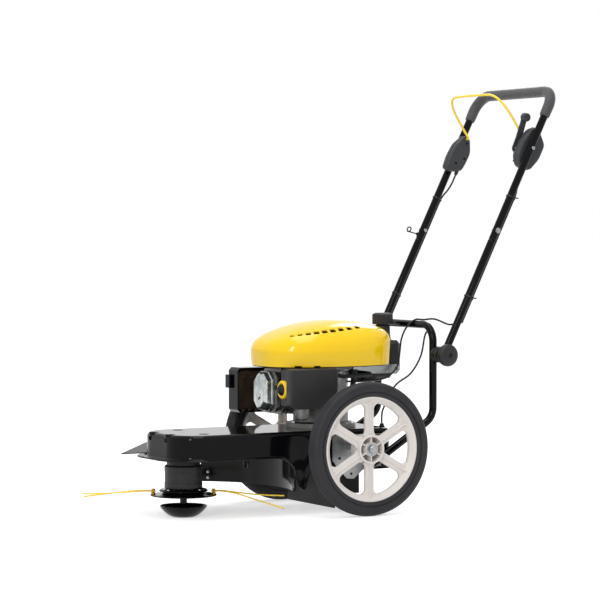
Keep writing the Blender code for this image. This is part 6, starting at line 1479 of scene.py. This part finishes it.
def upper_run(way):
    """Out of the housing's nose, over to the back of the tube and down along it."""
    straight = [(along, HANDLE_X, BEHIND) for along in (0.460, 0.380, 0.300, 0.220, 0.160, 0.130)]
    stations = [(0.572, CONTROL_MID, -0.012), (0.552, CONTROL_MID, -0.0125),
                (0.535, CONTROL_MID + 0.004, -0.0145), (0.515, CONTROL_MID + 0.014, -0.0165),
                (0.490, 0.1862, -0.0140), *straight, (SPLIT, HANDLE_X, BEHIND)]
    return [on_handle(along, way * x, ahead) for along, x, ahead in stations]


def round_the_fold(way):
    """From behind the tube, past its inner side, to the hoop in front."""
    return [on_handle(SPLIT - drop, way * (HANDLE_X - inward), ahead) for drop, inward, ahead in
            ((0.005, 0, BEHIND), (0.010, 0, BEHIND), (0.015, 0.0106, -0.0106),
             (0.022, 0.0149, 0.0), (0.030, 0.0185, 0.0150))]


LOWER = {
    "left": [(0.140, HOOP_Y + 0.008, BAR_Z + OVER_BAR + 0.003), (0.095, HOOP_Y, BAR_Z + OVER_BAR),
             (0.062, HOOP_Y - 0.006, BAR_Z + OVER_BAR - 0.001),
             (0.047, HOOP_Y - 0.024, BAR_Z - 0.008), (0.046, HOOP_Y - 0.040, BAR_Z - 0.040),
             (0.046, HOOP_Y - 0.046, BAR_Z - 0.080), (0.052, HOOP_Y - 0.058, BAR_Z - 0.115),
             (0.070, HOOP_Y - 0.105, TOP + 0.131), (0.0890, 0.070, TOP + 0.125),
             (0.0890, 0.0170, TOP + 0.126)],
    "right": [(-0.138, HOOP_Y + OVER_BAR + 0.002, BAR_Z + 0.003),
              (-0.080, HOOP_Y + OVER_BAR, BAR_Z), (0.000, HOOP_Y + OVER_BAR, BAR_Z),
              (0.062, HOOP_Y + OVER_BAR + 0.001, BAR_Z), (0.095, HOOP_Y + 0.018, BAR_Z - 0.008),
              (0.106, HOOP_Y - 0.002, BAR_Z - 0.030), (0.104, HOOP_Y - 0.014, BAR_Z - 0.085),
              (0.100, HOOP_Y - 0.044, BAR_Z - 0.132), (0.100, HOOP_Y - 0.094, TOP + 0.110),
              (0.100, HOOP_Y - 0.130, TOP + 0.052), (0.100, 0.122, TOP + 0.028),
              (0.100, 0.122, TOP + 0.0106)]}
print("stations of the lower runs:", {side: len(points) for side, points in LOWER.items()})

# %% [markdown]
# Two ties hold each cable: a band round the tube, a small loop round the cable and a tail that
# stands out sideways.

# %% Cables over the fold, and their ties
TIES, TIE_HALF = (0.175, 0.480), 0.0022
START, END = (on_handle(along) + FROM_AXLE for along in (0.086, 0.116))


def tie(side, way, k, along):
    """Band, loop and tail of one tie, at a height along the handle."""
    for name, inner, ahead, steps in (("tie", 0.0107, 0.0, 48), ("tie_loop", 0.0026, BEHIND, 28)):
        outer = inner + 0.0014
        ring = [(inner, TIE_HALF), (outer, TIE_HALF), (outer, -TIE_HALF), (inner, -TIE_HALF)]
        marked(turned(f"{name}_{side}_{k}", ring, on_handle(along, way * HANDLE_X, ahead), ALONG,
                      DARK, "handle", steps, loop=True), "dark_plastic")
    tail = [(0, -0.0020), (0.016, -0.0017), (0.019, 0), (0.016, 0.0017), (0, 0.0020)]
    out = unit(AHEAD * -0.35 + LEFT * way)
    start = on_handle(along, way * HANDLE_X) + out * 0.0116
    marked(slab(f"tie_tail_{side}_{k}", tail, 0.0010, start, out, ALONG, DARK, "handle", 0.0003),
           "dark_plastic")


for side, way, lower_node in (("left", 1, "throttle_cable"), ("right", -1, "clutch_cable")):
    stations = upper_run(way) + round_the_fold(way) + LOWER[side]
    route = evenly(flowing(stations, 10), 0.003)
    cable = tube("control_cable_" + side, route, CABLE_R, CABLE, None, 14)
    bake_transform(cable)
    marked(cable, "black_rubber", "upper_cable_" + side, lower_node)
    for k, along in enumerate(TIES):
        tie(side, way, k, along)
    print(cable.name, "length", round(length_of(route), 3))

# %% [markdown]
# A pigtail of wire on the right tube catches the starter rope, so that it can be pulled from
# behind the handle. Its path is a straight stem and one turn of a helix, carried by a tube.

# %% The rope guide
EYE_R, EYE_REACH, EYE_PITCH, WIRE_R = 0.007, 0.030, 0.008, 0.0018
root_out = unit(AHEAD * 0.55 - LEFT * 0.83)
root = on_handle(0.362, -HANDLE_X) + root_out * TUBE_R
turn = np.linspace(0, 2 * np.pi, 33)[:, None]
coil = (root + root_out * (EYE_REACH + EYE_R * np.sin(turn)) + ALONG * EYE_R * (1 - np.cos(turn))
        - LEFT * EYE_PITCH * turn / (2 * np.pi))
stem = root + root_out * np.linspace(-0.001, EYE_REACH - 0.002, 12)[:, None]
guide = tube("rope_guide_wire", np.vstack([stem, coil[1:]]), WIRE_R, BLACK, "handle", 14)
collar = turned("rope_guide_collar",
                [(0, 0.0035), (0.0050, 0.0035), (0.0055, 0.0028), (0.0055, -0.004), (0, -0.004)],
                root, root_out, BLACK, "handle", 32)
marked(guide, "zinc_plate")
marked(collar, "black_paint")
print("rope guide:", guide.name, collar.name)

# %% [markdown]
# ## What stays as the solids gave it
#
# The turned parts inside the drive are right as they are. They only need their finish.

# %% Finishes of the solids that stay
SLOT_FINISH = {
    "black_paint": BLACK, "shroud_yellow": YELLOW, "bail_yellow": BAIL_COAT, "dark_plastic": DARK,
    "grey_plastic": GREY, "wheel_plastic": WHEEL, "tyre_rubber": TYRE, "black_rubber": RUBBER,
    "foam": FOAM, "zinc_plate": ZINC, "cast_alloy": ALLOY, "bright_steel": STEEL,
    "muffler_steel": HOT, "line_nylon": NYLON}
OWN_FINISH = {"spindle_shaft": BLACK}      # the shaft gets the black coat where it shows, above the dish
slots_of = {entry["node"]: entry["material_slot"] for entry in frame["record"]["subparts"]}
for name, node in frame["nodes"].items():
    for material_slot in node.material_slots:
        material_slot.material = OWN_FINISH.get(name) or SLOT_FINISH[slots_of[name]]
print("finishes set on", len(frame["nodes"]), "solids")
